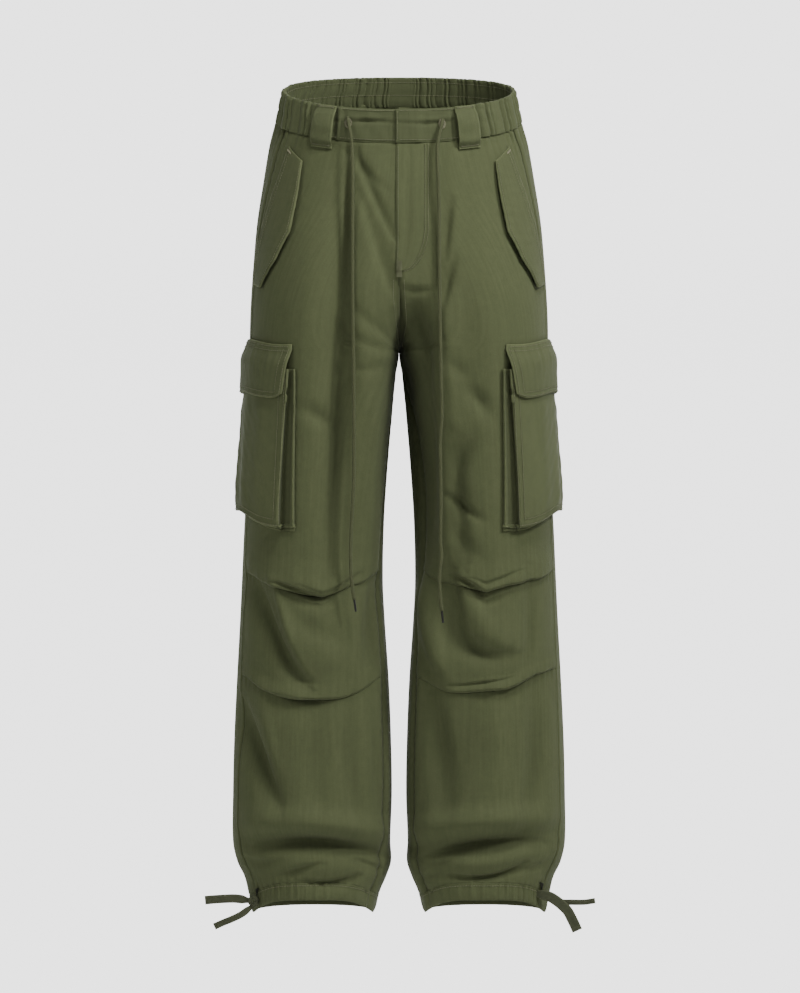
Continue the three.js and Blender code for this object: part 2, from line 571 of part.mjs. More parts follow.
// The front's outer face at x, between the waistband and the rise.
function frontPoint(x, s, lift) {
  const { centre, out, inn, depth, square } = ringShape(FRONT, s);
  const across = Math.abs(x) - centre;
  const [reach, power] = across >= 0 ? [out, ROUND] : [inn, square];
  const angle = Math.atan2(depth * (1 - (Math.abs(across) / reach) ** power) ** (1 / power), across);
  const { at, out: direction } = clothPoint(x < 0 ? RIGHT : LEFT, angle, s);
  return at.addScaledVector(direction, lift);
}

// Degrees round the waist at which the front lies at x.
function degreesAt(x, s) {
  const q = sectionAt(s);
  const depth = q.front * (1 - (Math.abs(x) / q.outer) ** ROUND) ** (1 / ROUND);
  return THREE.MathUtils.radToDeg(Math.atan2(x, depth));
}

// Flat front halves of the waistband. The wearer's left one laps over the other at the fly.
function bandFront(fromDegrees, toDegrees, lap) {
  const [outer, inner] = [[], []];
  for (const s of [BAND_TOP, BAND_CHANNEL.s, BAND_FOOT + HALF_GAP]) {
    const [from, to] = [fromDegrees(s), toDegrees(s)];
    const [top, under] = [[], []];
    for (let i = 0; i <= BAND_COLUMNS; i++) {
      const degrees = mix(from, to, i / BAND_COLUMNS);
      const x = waistPoint(degrees, s, 0).x;
      const over = lap ? (BAND_THICK + 2 * GAP) * (1 - ease(BAND_LAP.lifts, BAND_LAP.settles, x)) : 0;
      const lift = BAND_OUT + over - (s === BAND_CHANNEL.s ? BAND_CHANNEL.depth : 0);
      top.push(waistPoint(degrees, s, lift));
      under.push(waistPoint(degrees, s, lift - BAND_THICK));
    }
    outer.push(top);
    inner.push(under);
  }
  return wall(outer, inner);
}

// The elastic back of the waistband: narrow gathers, uneven in depth, with a plain centre back.
function bandBack() {
  const [from, to] = [BAND_SPLIT.left, 360 + BAND_SPLIT.right];
  const seam = 0.12; // degrees, half a gap
  const places = [];
  for (let i = 0; i < GATHERS; i++) {
    for (const point of GATHER_POINTS) {
      const degrees = mix(from, to, (i + point.at + 0.12 * Math.sin(i * 2.4) * point.at) / GATHERS);
      const plain = ease(FLAT_PATCH, FLAT_PATCH + 4, Math.abs(degrees - 180));
      const ends = ease(0, 6, Math.min(degrees - from, to - degrees));
      const depth = GATHER_DEPTH * (0.75 + 0.25 * Math.sin(i * 1.7)) * plain * ends;
      places.push({ degrees: i + point.at === 0 ? from + seam : degrees, wave: point.out * depth });
    }
  }
  places.push({ degrees: to - seam, wave: 0 });
  const [outer, inner] = [[], []];
  for (const [s, share] of [[BAND_TOP, 0.8], [BAND_FOOT + HALF_GAP, 1]]) {
    outer.push(places.map((p) => waistPoint(p.degrees, s, BAND_OUT + share * p.wave)));
    inner.push(places.map((p) => waistPoint(p.degrees, s, BAND_OUT + share * p.wave - BAND_THICK)));
  }
  return wall(outer, inner);
}

function beltLoop({ at, seat }) {
  const [outer, inner] = [[], []];
  for (const row of LOOP_ROWS) {
    const { s } = row;
    const off = s > BAND_FOOT ? Math.max(row.off, seat + Math.min(row.off, LOOP_STEP)) : row.off;
    const middle = waistPoint(at, s, 0);
    const perDegree = middle.distanceTo(waistPoint(at + 1, s, 0));
    const half = LOOP_WIDTH / 2 / perDegree;
    const [top, under] = [[], []];
    for (let i = 0; i <= LOOP_COLUMNS; i++) {
      const degrees = at + mix(-half, half, i / LOOP_COLUMNS);
      top.push(waistPoint(degrees, s, off + LOOP_THICK));
      under.push(waistPoint(degrees, s, off));
    }
    outer.push(top);
    inner.push(under);
  }
  return wall(outer, inner);
}

// The fly's lapped strip, over the centre front seam.
function flyPlacket() {
  const [outer, inner] = [[], []];
  for (let row = 0; row <= FLY.rows; row++) {
    const s = mix(FLY.top, FLY.foot, row / FLY.rows);
    const curve = Math.sqrt(1 - between(FLY.bend, FLY.foot, s) ** 2);
    const to = mix(FLY.narrow, FLY.wide, curve);
    const [top, under] = [[], []];
    for (let i = 0; i <= FLY.columns; i++) {
      const x = mix(FLY.from, to, i / FLY.columns);
      top.push(frontPoint(x, s, LAY + FLY.thick));
      under.push(frontPoint(x, s, LAY));
    }
    outer.push(top);
    inner.push(under);
  }
  return wall(outer, inner);
}

function hipFlap(side) {
  const [outer, inner] = [[], []];
  for (const row of HIP_FLAP) {
    const [sewn, free] = [placeSeenAt(row.sewnX, row.sewnZ), placeSeenAt(row.freeX, row.freeZ)];
    const [top, under] = [[], []];
    for (const t of HIP_FLAP_ACROSS) {
      const [v, s] = [mix(sewn.v, free.v, t), mix(sewn.s, free.s, t)];
      const off = mix(LAY, row.stand, t ** 1.5);
      top.push(facetPoint(side, v, s, off + FLAP_THICK));
      under.push(facetPoint(side, v, s, off));
    }
    outer.push(top);
    inner.push(under);
  }
  return wall(outer, inner);
}

// Everything on the thigh's side hangs a little lower towards the front.
const droopAt = (v) => POCKET.droop * ease(0, POCKET.front, v);

// Columns from one edge to another that follow the cloth's own between them.
function columnsBetween(from, to) {
  const columns = [from];
  for (let v = Math.ceil(from + 0.25); v < to - 0.25; v++) columns.push(v);
  return [...columns, to];
}

// A bellows pocket, open at its top: the face, then a gusset that folds in under the face's edge and out
// again to a sewn edge.
function cargoPocket(side) {
  const face = columnsBetween(POCKET.back, POCKET.front);
  const stand = (s) => mix(POCKET.standTop, POCKET.standFoot, between(POCKET.top, POCKET.foot, s));
  const edges = { sewn: LAY + POCKET.sewnThick, fold: LAY + POCKET.foldThick };
  const grid = (inset) => {
    const thick = inset ? WALL : 0;
    const columnInset = inset ? POCKET.wallColumns : 0;
    const columns = [
      { v: POCKET.back - POCKET.flangeBack, off: inset ? LAY : edges.sewn },
      { v: POCKET.back + POCKET.tuck + columnInset, off: inset ? LAY : edges.fold },
      ...face.map((v, i) => {
        const shift = i === 0 ? columnInset : i === face.length - 1 ? -columnInset : 0;
        return { v: v + shift, off: null };
      }),
      { v: POCKET.front - POCKET.tuck - columnInset, off: inset ? LAY : edges.fold },
      { v: POCKET.front + POCKET.flangeFront, off: inset ? LAY : edges.sewn },
    ];
    const rows = [
      { s: POCKET.top, off: null },
      ...POCKET_ROWS.map((s) => ({ s, off: null })),
      { s: POCKET.foot + thick, off: null },
      { s: POCKET.foot + POCKET.tuckRise + thick, off: inset ? LAY : edges.fold },
      { s: POCKET.foot - POCKET.flangeDrop, off: inset ? LAY : edges.sewn },
    ];
    return rows.map((row) =>
      columns.map((column) => {
        const off = row.off ?? column.off ?? stand(row.s) - thick;
        return facetPoint(side, column.v, row.s - droopAt(column.v), off);
      }),
    );
  };
  return wall(grid(false), grid(true));
}

function cargoFlap(side) {
  const columns = columnsBetween(CARGO_FLAP.back, CARGO_FLAP.front);
  const layer = (thick) =>
    CARGO_FLAP.rows.map(({ s, off }) => columns.map((v) => facetPoint(side, v, s - droopAt(v), off + thick)));
  return wall(layer(FLAP_THICK), layer(0));
}

// A round cord along hand-chosen points, and the stiff tip on its end.
const path = (points) => new THREE.CatmullRomCurve3(points.map((p) => new THREE.Vector3(...p)));
function circle(radius) {
  const corners = [];
  for (let i = 0; i < CORD_SIDES; i++) {
    const angle = (2 * Math.PI * i) / CORD_SIDES;
    corners.push(new THREE.Vector2(radius * Math.cos(angle), radius * Math.sin(angle)));
  }
  return new THREE.Shape(corners);
}
function cord(points) {
  const curve = path(points);
  const steps = Math.round(curve.getLength() / CORD_STEP);
  return new THREE.ExtrudeGeometry(circle(CORD_RADIUS), { extrudePath: curve, steps });
}
function cordTip(points) {
  const curve = path(points);
  const [end, along] = [curve.getPoint(1), curve.getTangent(1)];
  const line = new THREE.LineCurve3(
    end.clone().addScaledVector(along, GAP),
    end.clone().addScaledVector(along, GAP + TIP.length),
  );
  return new THREE.ExtrudeGeometry(circle(TIP.radius), { extrudePath: line, steps: 1 });
}

// A flat tape whose width stays square to its path, in the picture's plane.
const TAPE_STEPS = 8;
function tape({ width, path: points }) {
  const curve = path(points);
  const [outer, inner] = [[], []];
  for (let i = 0; i <= TAPE_STEPS; i++) {
    const [at, along] = [curve.getPoint(i / TAPE_STEPS), curve.getTangent(i / TAPE_STEPS)];
    const wide = new THREE.Vector3(-along.z, 0, along.x).normalize();
    const edges = [-width / 2, width / 2].map((half) => at.clone().addScaledVector(wide, half));
    const half = new THREE.Vector3(0, TAPE_THICK / 2, 0);
    outer.push(edges.map((edge) => edge.clone().sub(half)));
    inner.push(edges.map((edge) => edge.clone().add(half)));
  }
  return wall(outer, inner);
}

// The knot that both right ties leave: a soft pillow of wound tape.
function knot() {
  const geometry = new THREE.SphereGeometry(0.5, 12, 8);
  geometry.scale(KNOT.wide, KNOT.deep, KNOT.high);
  geometry.translate(KNOT.x, KNOT.y, KNOT.z);
  return geometry;
}

for (const [side, name] of [[LEFT, "left"], [RIGHT, "right"]]) {
  legPanels(side, name);
  add("hip_flap_" + name, hipFlap(side), CLOTH);
  add("cargo_pocket_" + name, cargoPocket(side), CLOTH);
  add("cargo_flap_" + name, cargoFlap(side), CLOTH);
}
const bandSeam = 0.1; // degrees, half a gap beside the elastic back
add(
  "waistband_front_right",
  bandFront(() => BAND_SPLIT.right + bandSeam, (s) => degreesAt(BAND_LAP.to, s), false),
  CLOTH,
);
add(
  "waistband_front_left",
  bandFront((s) => degreesAt(BAND_LAP.from, s), () => BAND_SPLIT.left - bandSeam, true),
  CLOTH,
);
add("waistband_back", bandBack(), CLOTH);
add("fly_placket", flyPlacket(), CLOTH);
for (const loop of LOOPS) add(loop.name, beltLoop(loop), CLOTH);
for (const [name, points] of [["right", CORD_RIGHT], ["left", CORD_LEFT]]) {
  add("drawcord_" + name, cord(points), CORD);
  add("cord_tip_" + name, cordTip(points), AGLET);
}
for (const tie of TIES) add(tie.name, tape(tie), TAPE);
add("hem_knot_right", knot(), TAPE);

export default group;
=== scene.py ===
# Looks of the cargo pants: cloth panels with creases, gathers and stitching, cords, tapes and finishes.
import math

import bmesh
import bpy
import numpy as np
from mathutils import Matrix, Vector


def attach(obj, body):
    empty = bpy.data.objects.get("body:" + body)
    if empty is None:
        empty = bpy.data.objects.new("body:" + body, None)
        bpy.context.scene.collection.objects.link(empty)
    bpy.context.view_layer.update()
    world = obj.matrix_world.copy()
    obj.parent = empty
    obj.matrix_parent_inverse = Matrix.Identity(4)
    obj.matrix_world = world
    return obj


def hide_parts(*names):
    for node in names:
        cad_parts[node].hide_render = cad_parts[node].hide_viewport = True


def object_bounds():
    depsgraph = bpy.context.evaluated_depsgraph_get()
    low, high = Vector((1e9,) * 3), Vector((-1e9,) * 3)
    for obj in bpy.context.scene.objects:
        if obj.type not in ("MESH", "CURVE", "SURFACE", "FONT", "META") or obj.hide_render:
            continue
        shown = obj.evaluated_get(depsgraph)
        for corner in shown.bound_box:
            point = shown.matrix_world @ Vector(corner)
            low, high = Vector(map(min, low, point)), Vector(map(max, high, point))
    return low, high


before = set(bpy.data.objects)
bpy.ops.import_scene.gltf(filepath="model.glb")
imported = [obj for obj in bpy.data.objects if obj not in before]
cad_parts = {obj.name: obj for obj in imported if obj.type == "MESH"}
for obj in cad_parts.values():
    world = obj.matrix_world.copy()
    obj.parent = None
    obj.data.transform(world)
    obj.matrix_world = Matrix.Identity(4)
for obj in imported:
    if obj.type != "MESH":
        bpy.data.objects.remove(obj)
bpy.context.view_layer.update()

# Millimetres until a mesh is made. The front faces -Y, the wearer's left is +X.
MM = 0.001
LEFT, RIGHT = 1, -1
FRONT, BACK = "front", "back"

# The camera stands level with the middle of the garment, far away, as for a picture of clothes.
CAMERA = {"x": 1.3, "distance": 4500, "height": -500, "lens": 127.4}
camera_data = bpy.data.cameras.new("camera")
camera_data.lens = CAMERA["lens"]
camera = bpy.data.objects.new("camera", camera_data)
camera.location = (CAMERA["x"] * MM, -CAMERA["distance"] * MM, CAMERA["height"] * MM)
camera.rotation_euler = (math.radians(90), 0, 0)
bpy.context.scene.collection.objects.link(camera)
bpy.context.scene.camera = camera

# Sizes of the garment. Heights are measured from the band's middle at the sides.
SEAM = 0.15  # how far each piece's edge stands back from a seam
WALL = 1.5
LAY = 0.8  # from the cloth to a piece that lies on it
BAND_TOP, BAND_FOOT = 20, -21
WAIST_SLOPE, WAIST_BEND, TILT_END = 0.322, 0.00045, -230  # the waist slopes down to the front
CROTCH, HIP_START = -315, -40
FRONT_RISE, BACK_RISE = -225, -165  # where each rise begins to turn in between the legs
KNEE_TOP, KNEE_FOOT = -600, -733
KNEE_DIP = {"drop": 28, "starts": -470, "fades": -860, "within": 0.42}  # lower in the middle of the front
CASING_TOP, HEM = -1009, -1031
HEM_ARCH = {"rise": 22, "starts": -860, "full": -985, "within": 0.1}  # higher in the middle of the front
SEAM_FORWARD, INSEAM_REACH = 38, 110  # the seams lie this far forward, the inner one from lower down
ROUND = 2.15  # exponent of a ring's outer half
# Columns from the side seam to the inner edges, and the angles they would reach if they stayed straight
FRONT_COLUMNS, BACK_COLUMNS = 13, 18
FRONT_STRAIGHT, BACK_STRAIGHT, COLUMN_BEND = math.radians(108), math.radians(-120), 5

# The leg's rings: height, outer side, inner side, front depth, back depth, exponent of the inner half
SECTIONS = np.array([
    (20, 147, 0, 93, 104, 4), (-21, 155, 0, 99, 112, 4), (-50, 164, 0, 105, 121, 4),
    (-90, 172, 0, 111, 131, 4), (-145, 181, 0, 117, 141, 4), (-200, 186, 0, 120, 146, 4),
    (-262, 190, 0, 121, 146, 4), (-315, 191, 0, 119, 140, 4), (-345, 190, 4.5, 117, 134, 3.6),
    (-400, 190, 9.5, 114, 126, 3), (-460, 193, 14.5, 110, 116, 2.6), (-530, 197.5, 19, 105, 106, 2.4),
    (-607, 201, 20.5, 99, 94, 2.2), (-660, 203.5, 18, 96, 88, 2.2), (-735, 207.5, 13, 89, 86, 2.2),
    (-812, 211, 10, 86, 88, 2.2), (-880, 212.5, 9, 85, 88, 2.2), (-940, 212.5, 11, 83, 86, 2.2),
    (-966, 207, 10, 80, 83, 2.2), (-985, 198, 16, 77, 79, 2.2), (-1009, 191, 26, 74, 76, 2.2),
    (-1031, 187, 32, 72, 74, 2.2),
], float)

# Folds, by leg and face. Each is a soft trough (depth below 0) or ridge from its first point to its last,
# bent towards the middle one, as seen from the front with x away from the centre plane:
# x0, z0, xm, zm, x1, z1, depth, width.
FOLDS = {
    (RIGHT, FRONT): [
        (179, -606, 160, -665, 125, -725, -6, 15), (157, -625, 142, -668, 106, -715, 4, 14),
        (195, -783, 172, -840, 137, -906, -5, 18), (68, -70, 84, -311, 68, -580, -5, 13),
        (44, -120, 52, -330, 44, -560, 3, 16), (192, -937, 102, -924, 12, -955, -10, 13),
        (185, -905, 102, -896, 22, -925, 4, 15), (164, -967, 130, -964, 99, -957, 3, 10),
    ],
    (RIGHT, BACK): [
        (24, -335, 84, -386, 150, -372, -7, 15), (60, -120, 74, -220, 40, -300, -4, 18),
        (34, -618, 108, -640, 182, -622, -6, 13), (46, -682, 112, -700, 176, -676, -5, 13),
        (120, -430, 96, -520, 112, -590, -4, 17), (80, -760, 98, -830, 84, -900, -4, 18),
        (196, -945, 110, -955, 18, -940, -9, 13),
    ],
    (LEFT, FRONT): [
        (52, -630, 58, -706, 134, -708, -6, 14), (32, -640, 42, -700, 62, -732, 4, 12),
        (90, -770, 70, -830, 74, -900, -4, 18), (34, -262, 32, -430, 42, -580, -5, 14),
        (60, -180, 56, -380, 62, -560, 3, 14), (66, -492, 84, -512, 104, -530, -4, 12),
        (22, -948, 108, -936, 194, -926, -10, 13), (30, -920, 110, -905, 188, -896, 4, 15),
        (64, -962, 112, -964, 160, -952, 3, 10),
    ],
    (LEFT, BACK): [
        (24, -338, 92, -392, 158, -366, -7, 15), (70, -130, 80, -225, 46, -300, -4, 18),
        (36, -628, 110, -650, 176, -618, -6, 13), (44, -676, 104, -700, 180, -690, -5, 13),
        (92, -440, 118, -520, 100, -590, -4, 17), (130, -750, 108, -830, 122, -895, -4, 18),
        (18, -952, 104, -948, 196, -942, -9, 13),
    ],
}
# Finer creases than the solids have, with one more column: the side that is sharp, 1 for above a crease
# that runs outwards and outside one that runs down, -1 for the other side, 0 for neither.
CREASES = {
    (RIGHT, FRONT): [
        (63, -70, 65, -200, 67, -320, -10, 7, -1), (68, -290, 77, -442, 86, -603, -12, 12, -1),
        (34, -90, 32, -330, 34, -590, 3, 16, 0), (112, -110, 116, -330, 112, -590, 3, 22, 0),
        (54, -72, 36, -120, 9, -176, -6, 7, 1), (62, -66, 44, -96, 14, -118, -2, 6, 0),
        (48, -120, 30, -190, 8, -250, -5, 10, 1), (84, -412, 100, -398, 118, -392, -6, 10, 0),
        (180, -560, 160, -548, 142, -532, -1.8, 6, 0), (8, -306, 35, -285, 62, -262, -2.4, 7, 0),
        (6, -318, 38, -312, 70, -300, -2.4, 6, 0), (14, -335, 40, -346, 66, -340, -1.8, 6, 0),
        (186, -606, 168, -672, 114, -738, -9, 12, -1), (160, -612, 142, -676, 114, -724, 6, 6, 0),
        (146, -650, 112, -668, 72, -684, -4, 12, 0), (52, -606, 74, -634, 122, -618, -4, 6, 1),
        (60, -620, 90, -646, 130, -636, -2.5, 5, 1), (26, -606, 40, -655, 36, -715, -6, 9, 0),
        (90, -630, 122, -624, 154, -618, -8, 4, 1), (108, -664, 92, -700, 84, -722, 4, 20, 0),
        (197, -765, 184, -812, 150, -890, -10, 13, -1), (176, -748, 168, -800, 150, -850, 4, 9, 0),
        (61, -756, 67, -830, 49, -917, -6, 12, 0), (24, -756, 34, -855, 17, -930, -3, 9, 0),
        (100, -760, 112, -830, 96, -905, -4, 16, 0), (84, -760, 116, -764, 148, -756, -4, 4, 1),
        (14, -958, 80, -922, 180, -938, -7, 10, 1), (30, -944, 92, -922, 150, -936, -3, 4, 1),
        (20, -925, 100, -905, 180, -912, 8, 14, 0), (52, -978, 84, -990, 120, -984, -7, 6, 1),
        (98, -962, 120, -966, 142, -974, -6, 6, 1), (18, -976, 36, -962, 58, -958, -4, 7, 1),
        (150, -958, 172, -965, 196, -958, -3.5, 7, 1), (60, -964, 90, -974, 130, -962, 3, 9, 0),
    ],
    (RIGHT, BACK): [
        (40, -598, 90, -610, 140, -600, -7, 7, 1), (60, -660, 110, -674, 165, -655, -7, 7, 1),
        (30, -650, 60, -680, 100, -698, -5, 7, 1), (16, -312, 60, -362, 124, -372, -8, 9, 1),
        (30, -930, 80, -940, 130, -928, -7, 8, 1), (100, -968, 140, -974, 178, -962, -6, 6, 1),
        (14, -350, 44, -408, 86, -446, -6, 10, 1), (92, -60, 98, -150, 84, -260, -5, 14, 0),
        (150, -410, 142, -500, 150, -590, -5, 12, 0), (60, -440, 74, -520, 66, -595, -5, 12, 0),
        (70, -570, 112, -584, 168, -566, -5, 8, 1), (60, -750, 74, -830, 58, -915, -6, 13, 0),
    ],
    (LEFT, FRONT): [
        (57, -60, 56, -330, 57, -590, 1, 12, 0), (18, -290, 24, -450, 30, -600, -14, 20, 0),
        (66, -130, 62, -165, 58, -205, -7, 8, 1), (70, -205, 62, -232, 56, -262, -8, 9, 1),
        (8, -240, 24, -245, 42, -240, -4, 5, 1), (12, -256, 32, -300, 22, -356, -15, 16, 0),
        (14, -62, 11, -130, 10, -200, -1.8, 6, 0), (6, -316, 36, -312, 66, -302, -2.4, 6, 0),
        (60, -326, 70, -340, 84, -352, -4, 9, 0), (88, -366, 104, -380, 112, -402, -7, 9, 0),
        (92, -428, 80, -450, 74, -470, -6, 9, 0), (72, -425, 74, -490, 84, -590, -9, 15, 1),
        (112, -140, 118, -330, 114, -590, 3.5, 22, 0), (56, -499, 78, -512, 100, -530, -5, 5, -1),
        (60, -490, 80, -503, 104, -522, 2, 5, 0), (70, -545, 84, -560, 100, -585, -3, 9, 0),
        (66, -604, 68, -704, 138, -698, -9, 13, 1), (28, -610, 38, -680, 58, -736, 6, 10, 0),
        (84, -624, 104, -676, 140, -688, 5, 13, 0), (96, -614, 124, -620, 150, -606, -3, 5, 1),
        (88, -634, 112, -644, 138, -636, -2.4, 5, 1), (72, -615, 92, -622, 107, -629, -9, 5, 1),
        (163, -600, 170, -680, 160, -724, -5, 9, 0), (40, -756, 54, -842, 58, -917, -9, 15, 0),
        (170, -760, 176, -842, 158, -917, -8, 13, 0), (38, -762, 52, -800, 60, -850, -4, 9, -1),
        (120, -752, 126, -830, 118, -905, 4, 16, 0), (66, -747, 100, -751, 138, -744, -4, 4, 1),
        (26, -958, 90, -928, 184, -936, -7, 10, 1), (44, -950, 100, -928, 160, -932, -3, 4, 1),
        (24, -920, 100, -900, 186, -908, 8, 14, 0), (66, -976, 120, -986, 158, -962, -8, 5, 1),
        (30, -964, 52, -966, 76, -958, -3.5, 7, 1), (60, -960, 104, -970, 150, -950, 3, 9, 0),
        (140, -968, 164, -975, 190, -960, -3, 6, 1), (28, -985, 40, -975, 58, -980, -3, 6, 0),
    ],
    (LEFT, BACK): [
        (48, -604, 96, -616, 150, -602, -7, 7, 1), (70, -662, 120, -678, 160, -664, -7, 7, 1),
        (26, -640, 56, -670, 96, -688, -5, 7, 1), (18, -316, 66, -368, 130, -368, -8, 9, 1),
        (40, -966, 84, -976, 130, -966, -6, 6, 1), (120, -930, 156, -938, 188, -926, -7, 8, 1),
        (16, -356, 50, -416, 92, -448, -6, 10, 1), (100, -64, 104, -150, 90, -250, -5, 14, 0),
        (152, -420, 146, -500, 156, -588, -5, 12, 0), (56, -446, 66, -520, 60, -590, -5, 12, 0),
        (66, -572, 108, -588, 162, -574, -5, 8, 1), (64, -752, 80, -830, 66, -910, -6, 13, 0),
    ],
}


# How a fold falls off across it, in widths, and how strong it is at its ends and in its middle
FOLD = {"reach": 2.6, "points": 15, "sharp": 2.2, "soft": 0.85, "ends": 0.35, "middle": 0.65}
FOLDS_FADE = 0.05, 0.4  # where the cloth turns to the side, as the sine of its angle


# The cloth's surface
def ease(low, high, x):
    """A smooth step: 0 at low and before it, 1 at high and past it."""
    t = np.clip((np.asarray(x, float) - low) / (high - low), 0, 1)
    return t * t * (3 - 2 * t)


def hump(away, width):
    """1 at no distance away, about a third at the width and nearly nothing at twice the width."""
    return np.exp(-((away / width) ** 2))


def section(s):
    """The section's values at heights s, on a smooth curve through the table's rows."""
    s = np.asarray(s, float)
    i = np.clip(np.searchsorted(-SECTIONS[:, 0], -s) - 1, 0, len(SECTIONS) - 2)
    a, b = SECTIONS[i], SECTIONS[i + 1]
    before, after = SECTIONS[np.maximum(i - 1, 0)], SECTIONS[np.minimum(i + 2, len(SECTIONS) - 1)]
    span = (b[..., :1] - a[..., :1])
    t = (s[..., None] - a[..., :1]) / span
    slope_a = (b - before) / (b[..., :1] - before[..., :1]) * span
    slope_b = (after - a) / (after[..., :1] - a[..., :1]) * span
    curve = ((2 * t**3 - 3 * t**2 + 1) * a + (t**3 - 2 * t**2 + t) * slope_a
             + (3 * t**2 - 2 * t**3) * b + (t**3 - t**2) * slope_b)
    return [curve[..., k] for k in range(1, 6)]


def ring(forward, s):
    """Middle, outer half, inner half, depth and inner exponent of the ring at heights s."""
    outer, inner, front, back, square = section(s)
    depth = np.where(forward, front, back)
    centre = ease(HIP_START, CROTCH, s) * (outer + inner) / 2
    rise = np.where(forward, FRONT_RISE, BACK_RISE)
    risen = 1 - np.clip((s - rise) / (CROTCH - rise), 0, 1) ** 2
    merge = (1 - risen ** (square / 2)) ** (1 / square)
    inn = np.where(s > CROTCH, np.maximum(centre, 1) / np.maximum(merge, 0.01), centre - inner)
    return centre, outer - centre, inn, depth, square


def outline(side, angle, s):
    """Points of the garment without its folds, by angle round the leg and height before it slopes."""
    c, d = np.cos(angle), np.sin(angle)
    centre, out, inn, depth, square = ring(d >= 0, s)
    reach, power = np.where(c >= 0, out, inn), np.where(c >= 0, ROUND, square)
    r = ((np.abs(c) / reach) ** power + (np.abs(d) / depth) ** power) ** (-1 / power)
    y = -r * d
    tilt = ease(TILT_END, BAND_FOOT, s) * (WAIST_SLOPE * y - WAIST_BEND * y * y)
    near = ease(KNEE_DIP["starts"], KNEE_TOP, s) * ease(KNEE_DIP["fades"], KNEE_FOOT, s)
    dip = KNEE_DIP["drop"] * near * ease(KNEE_DIP["within"], 1, d)
    arched = ease(HEM_ARCH["starts"], HEM_ARCH["full"], s) * ease(HEM_ARCH["within"], 1, d)
    arch = HEM_ARCH["rise"] * arched
    return np.stack([side * (centre + r * c), y, s + tilt - dip + arch], -1)


def fold_height(side, face, x, z):
    """How far the folds and creases move the cloth out at points seen from the front."""
    height = np.zeros_like(x)
    x = side * x
    for x0, z0, xm, zm, x1, z1, depth, width, *sharp in FOLDS[side, face] + CREASES[side, face]:
        reach = FOLD["reach"] * width
        near = ((x > min(x0, xm, x1) - reach) & (x < max(x0, xm, x1) + reach)
                & (z > min(z0, zm, z1) - reach) & (z < max(z0, zm, z1) + reach))
        if not near.any():
            continue
        px, pz = x[near], z[near]
        t = np.linspace(0, 1, FOLD["points"])
        cx = (1 - t) ** 2 * x0 + 2 * t * (1 - t) * xm + t * t * x1
        cz = (1 - t) ** 2 * z0 + 2 * t * (1 - t) * zm + t * t * z1
        away, along, over = np.full(px.shape, 1e9), np.zeros(px.shape), np.zeros(px.shape)
        for k in range(len(t) - 1):
            dx, dz = cx[k + 1] - cx[k], cz[k + 1] - cz[k]
            q = np.clip(((px - cx[k]) * dx + (pz - cz[k]) * dz) / (dx * dx + dz * dz), 0, 1)
            gap = np.hypot(px - cx[k] - q * dx, pz - cz[k] - q * dz)
            nearer = gap < away
            away = np.where(nearer, gap, away)
            along = np.where(nearer, t[k] + q * (t[k + 1] - t[k]), along)
            over = np.where(nearer, dx * (pz - cz[k]) - dz * (px - cx[k]), over)
        if any(sharp):
            away = away * np.where(over * sharp[0] > 0, FOLD["sharp"], FOLD["soft"])
        strength = FOLD["ends"] + FOLD["middle"] * np.sin(math.pi * along)
        height[near] += depth * hump(away, width) * strength
    return height


def cloth(side, angle, s):
    """Points of the garment's outer face and the level directions out of it."""
    angle, s = np.broadcast_arrays(np.asarray(angle, float), np.asarray(s, float))
    at = outline(side, angle, s)
    ahead, behind = outline(side, angle + 1e-3, s), outline(side, angle - 1e-3, s)
    out = np.stack([-(ahead - behind)[..., 1], (ahead - behind)[..., 0], np.zeros(s.shape)], -1) * side
    out /= np.maximum(np.linalg.norm(out, axis=-1, keepdims=True), 1e-9)
    forward = np.sin(angle)
    height = np.zeros(s.shape)
    for face, here in ((FRONT, forward >= 0), (BACK, forward < 0)):
        if here.any():
            x, z = at[..., 0][here], at[..., 2][here]
            height[here] = fold_height(side, face, x, z) * ease(*FOLDS_FADE, np.abs(forward[here]))
    return at + out * height[..., None], out


def seam_angle(s, forward, inner):
    """Angle of the outer or inner seam, which lies so far forward of the leg's middle."""
    _, out, inn, depth, square = ring(np.ones(np.shape(s), bool), s)
    reach, power = (inn, square) if inner else (out, ROUND)
    across = reach * (1 - (forward / depth) ** power) ** (1 / power)
    turn = np.arctan2(forward, across)
    return math.pi - turn if inner else turn


def rise_angle(forward, s):
    """Angle at which the front or the back meets the centre plane."""
    centre, _, inn, depth, square = ring(np.full(np.shape(s), forward), s)
    return np.arctan2(depth * np.maximum(1 - (centre / inn) ** square, 0) ** (1 / square), -centre)


def column_angle(v, s):
    """Angle round the leg of column v: 0 is the side seam, 13 the front's inner edge, -18 the back's."""
    v, s = np.broadcast_arrays(np.asarray(v, float), np.asarray(s, float))
    side_seam = seam_angle(s, SEAM_FORWARD, False)
    low = seam_angle(np.minimum(s, CROTCH), SEAM_FORWARD * ease(CROTCH, CROTCH - INSEAM_REACH, s), True)
    front_end = np.where(s > CROTCH, rise_angle(True, s), low)
    back_end = np.where(s > CROTCH, -rise_angle(False, s), low - 2 * math.pi)
    u = np.where(v >= 0, v / FRONT_COLUMNS, -v / BACK_COLUMNS)
    straight = np.where(v >= 0, FRONT_STRAIGHT, BACK_STRAIGHT)
    end = np.where(v >= 0, front_end, back_end)
    return side_seam * (1 - u) + straight * u + (end - straight) * u**COLUMN_BEND


def leg(side, v, s, lift=0.0):
    """Points on the cloth by column and height, lifted off it, and the directions out."""
    at, out = cloth(side, column_angle(v, s), s)
    at = at + out * np.asarray(lift, float)[..., None]
    at[..., 0] = side * np.maximum(side * at[..., 0], SEAM)
    return at, out


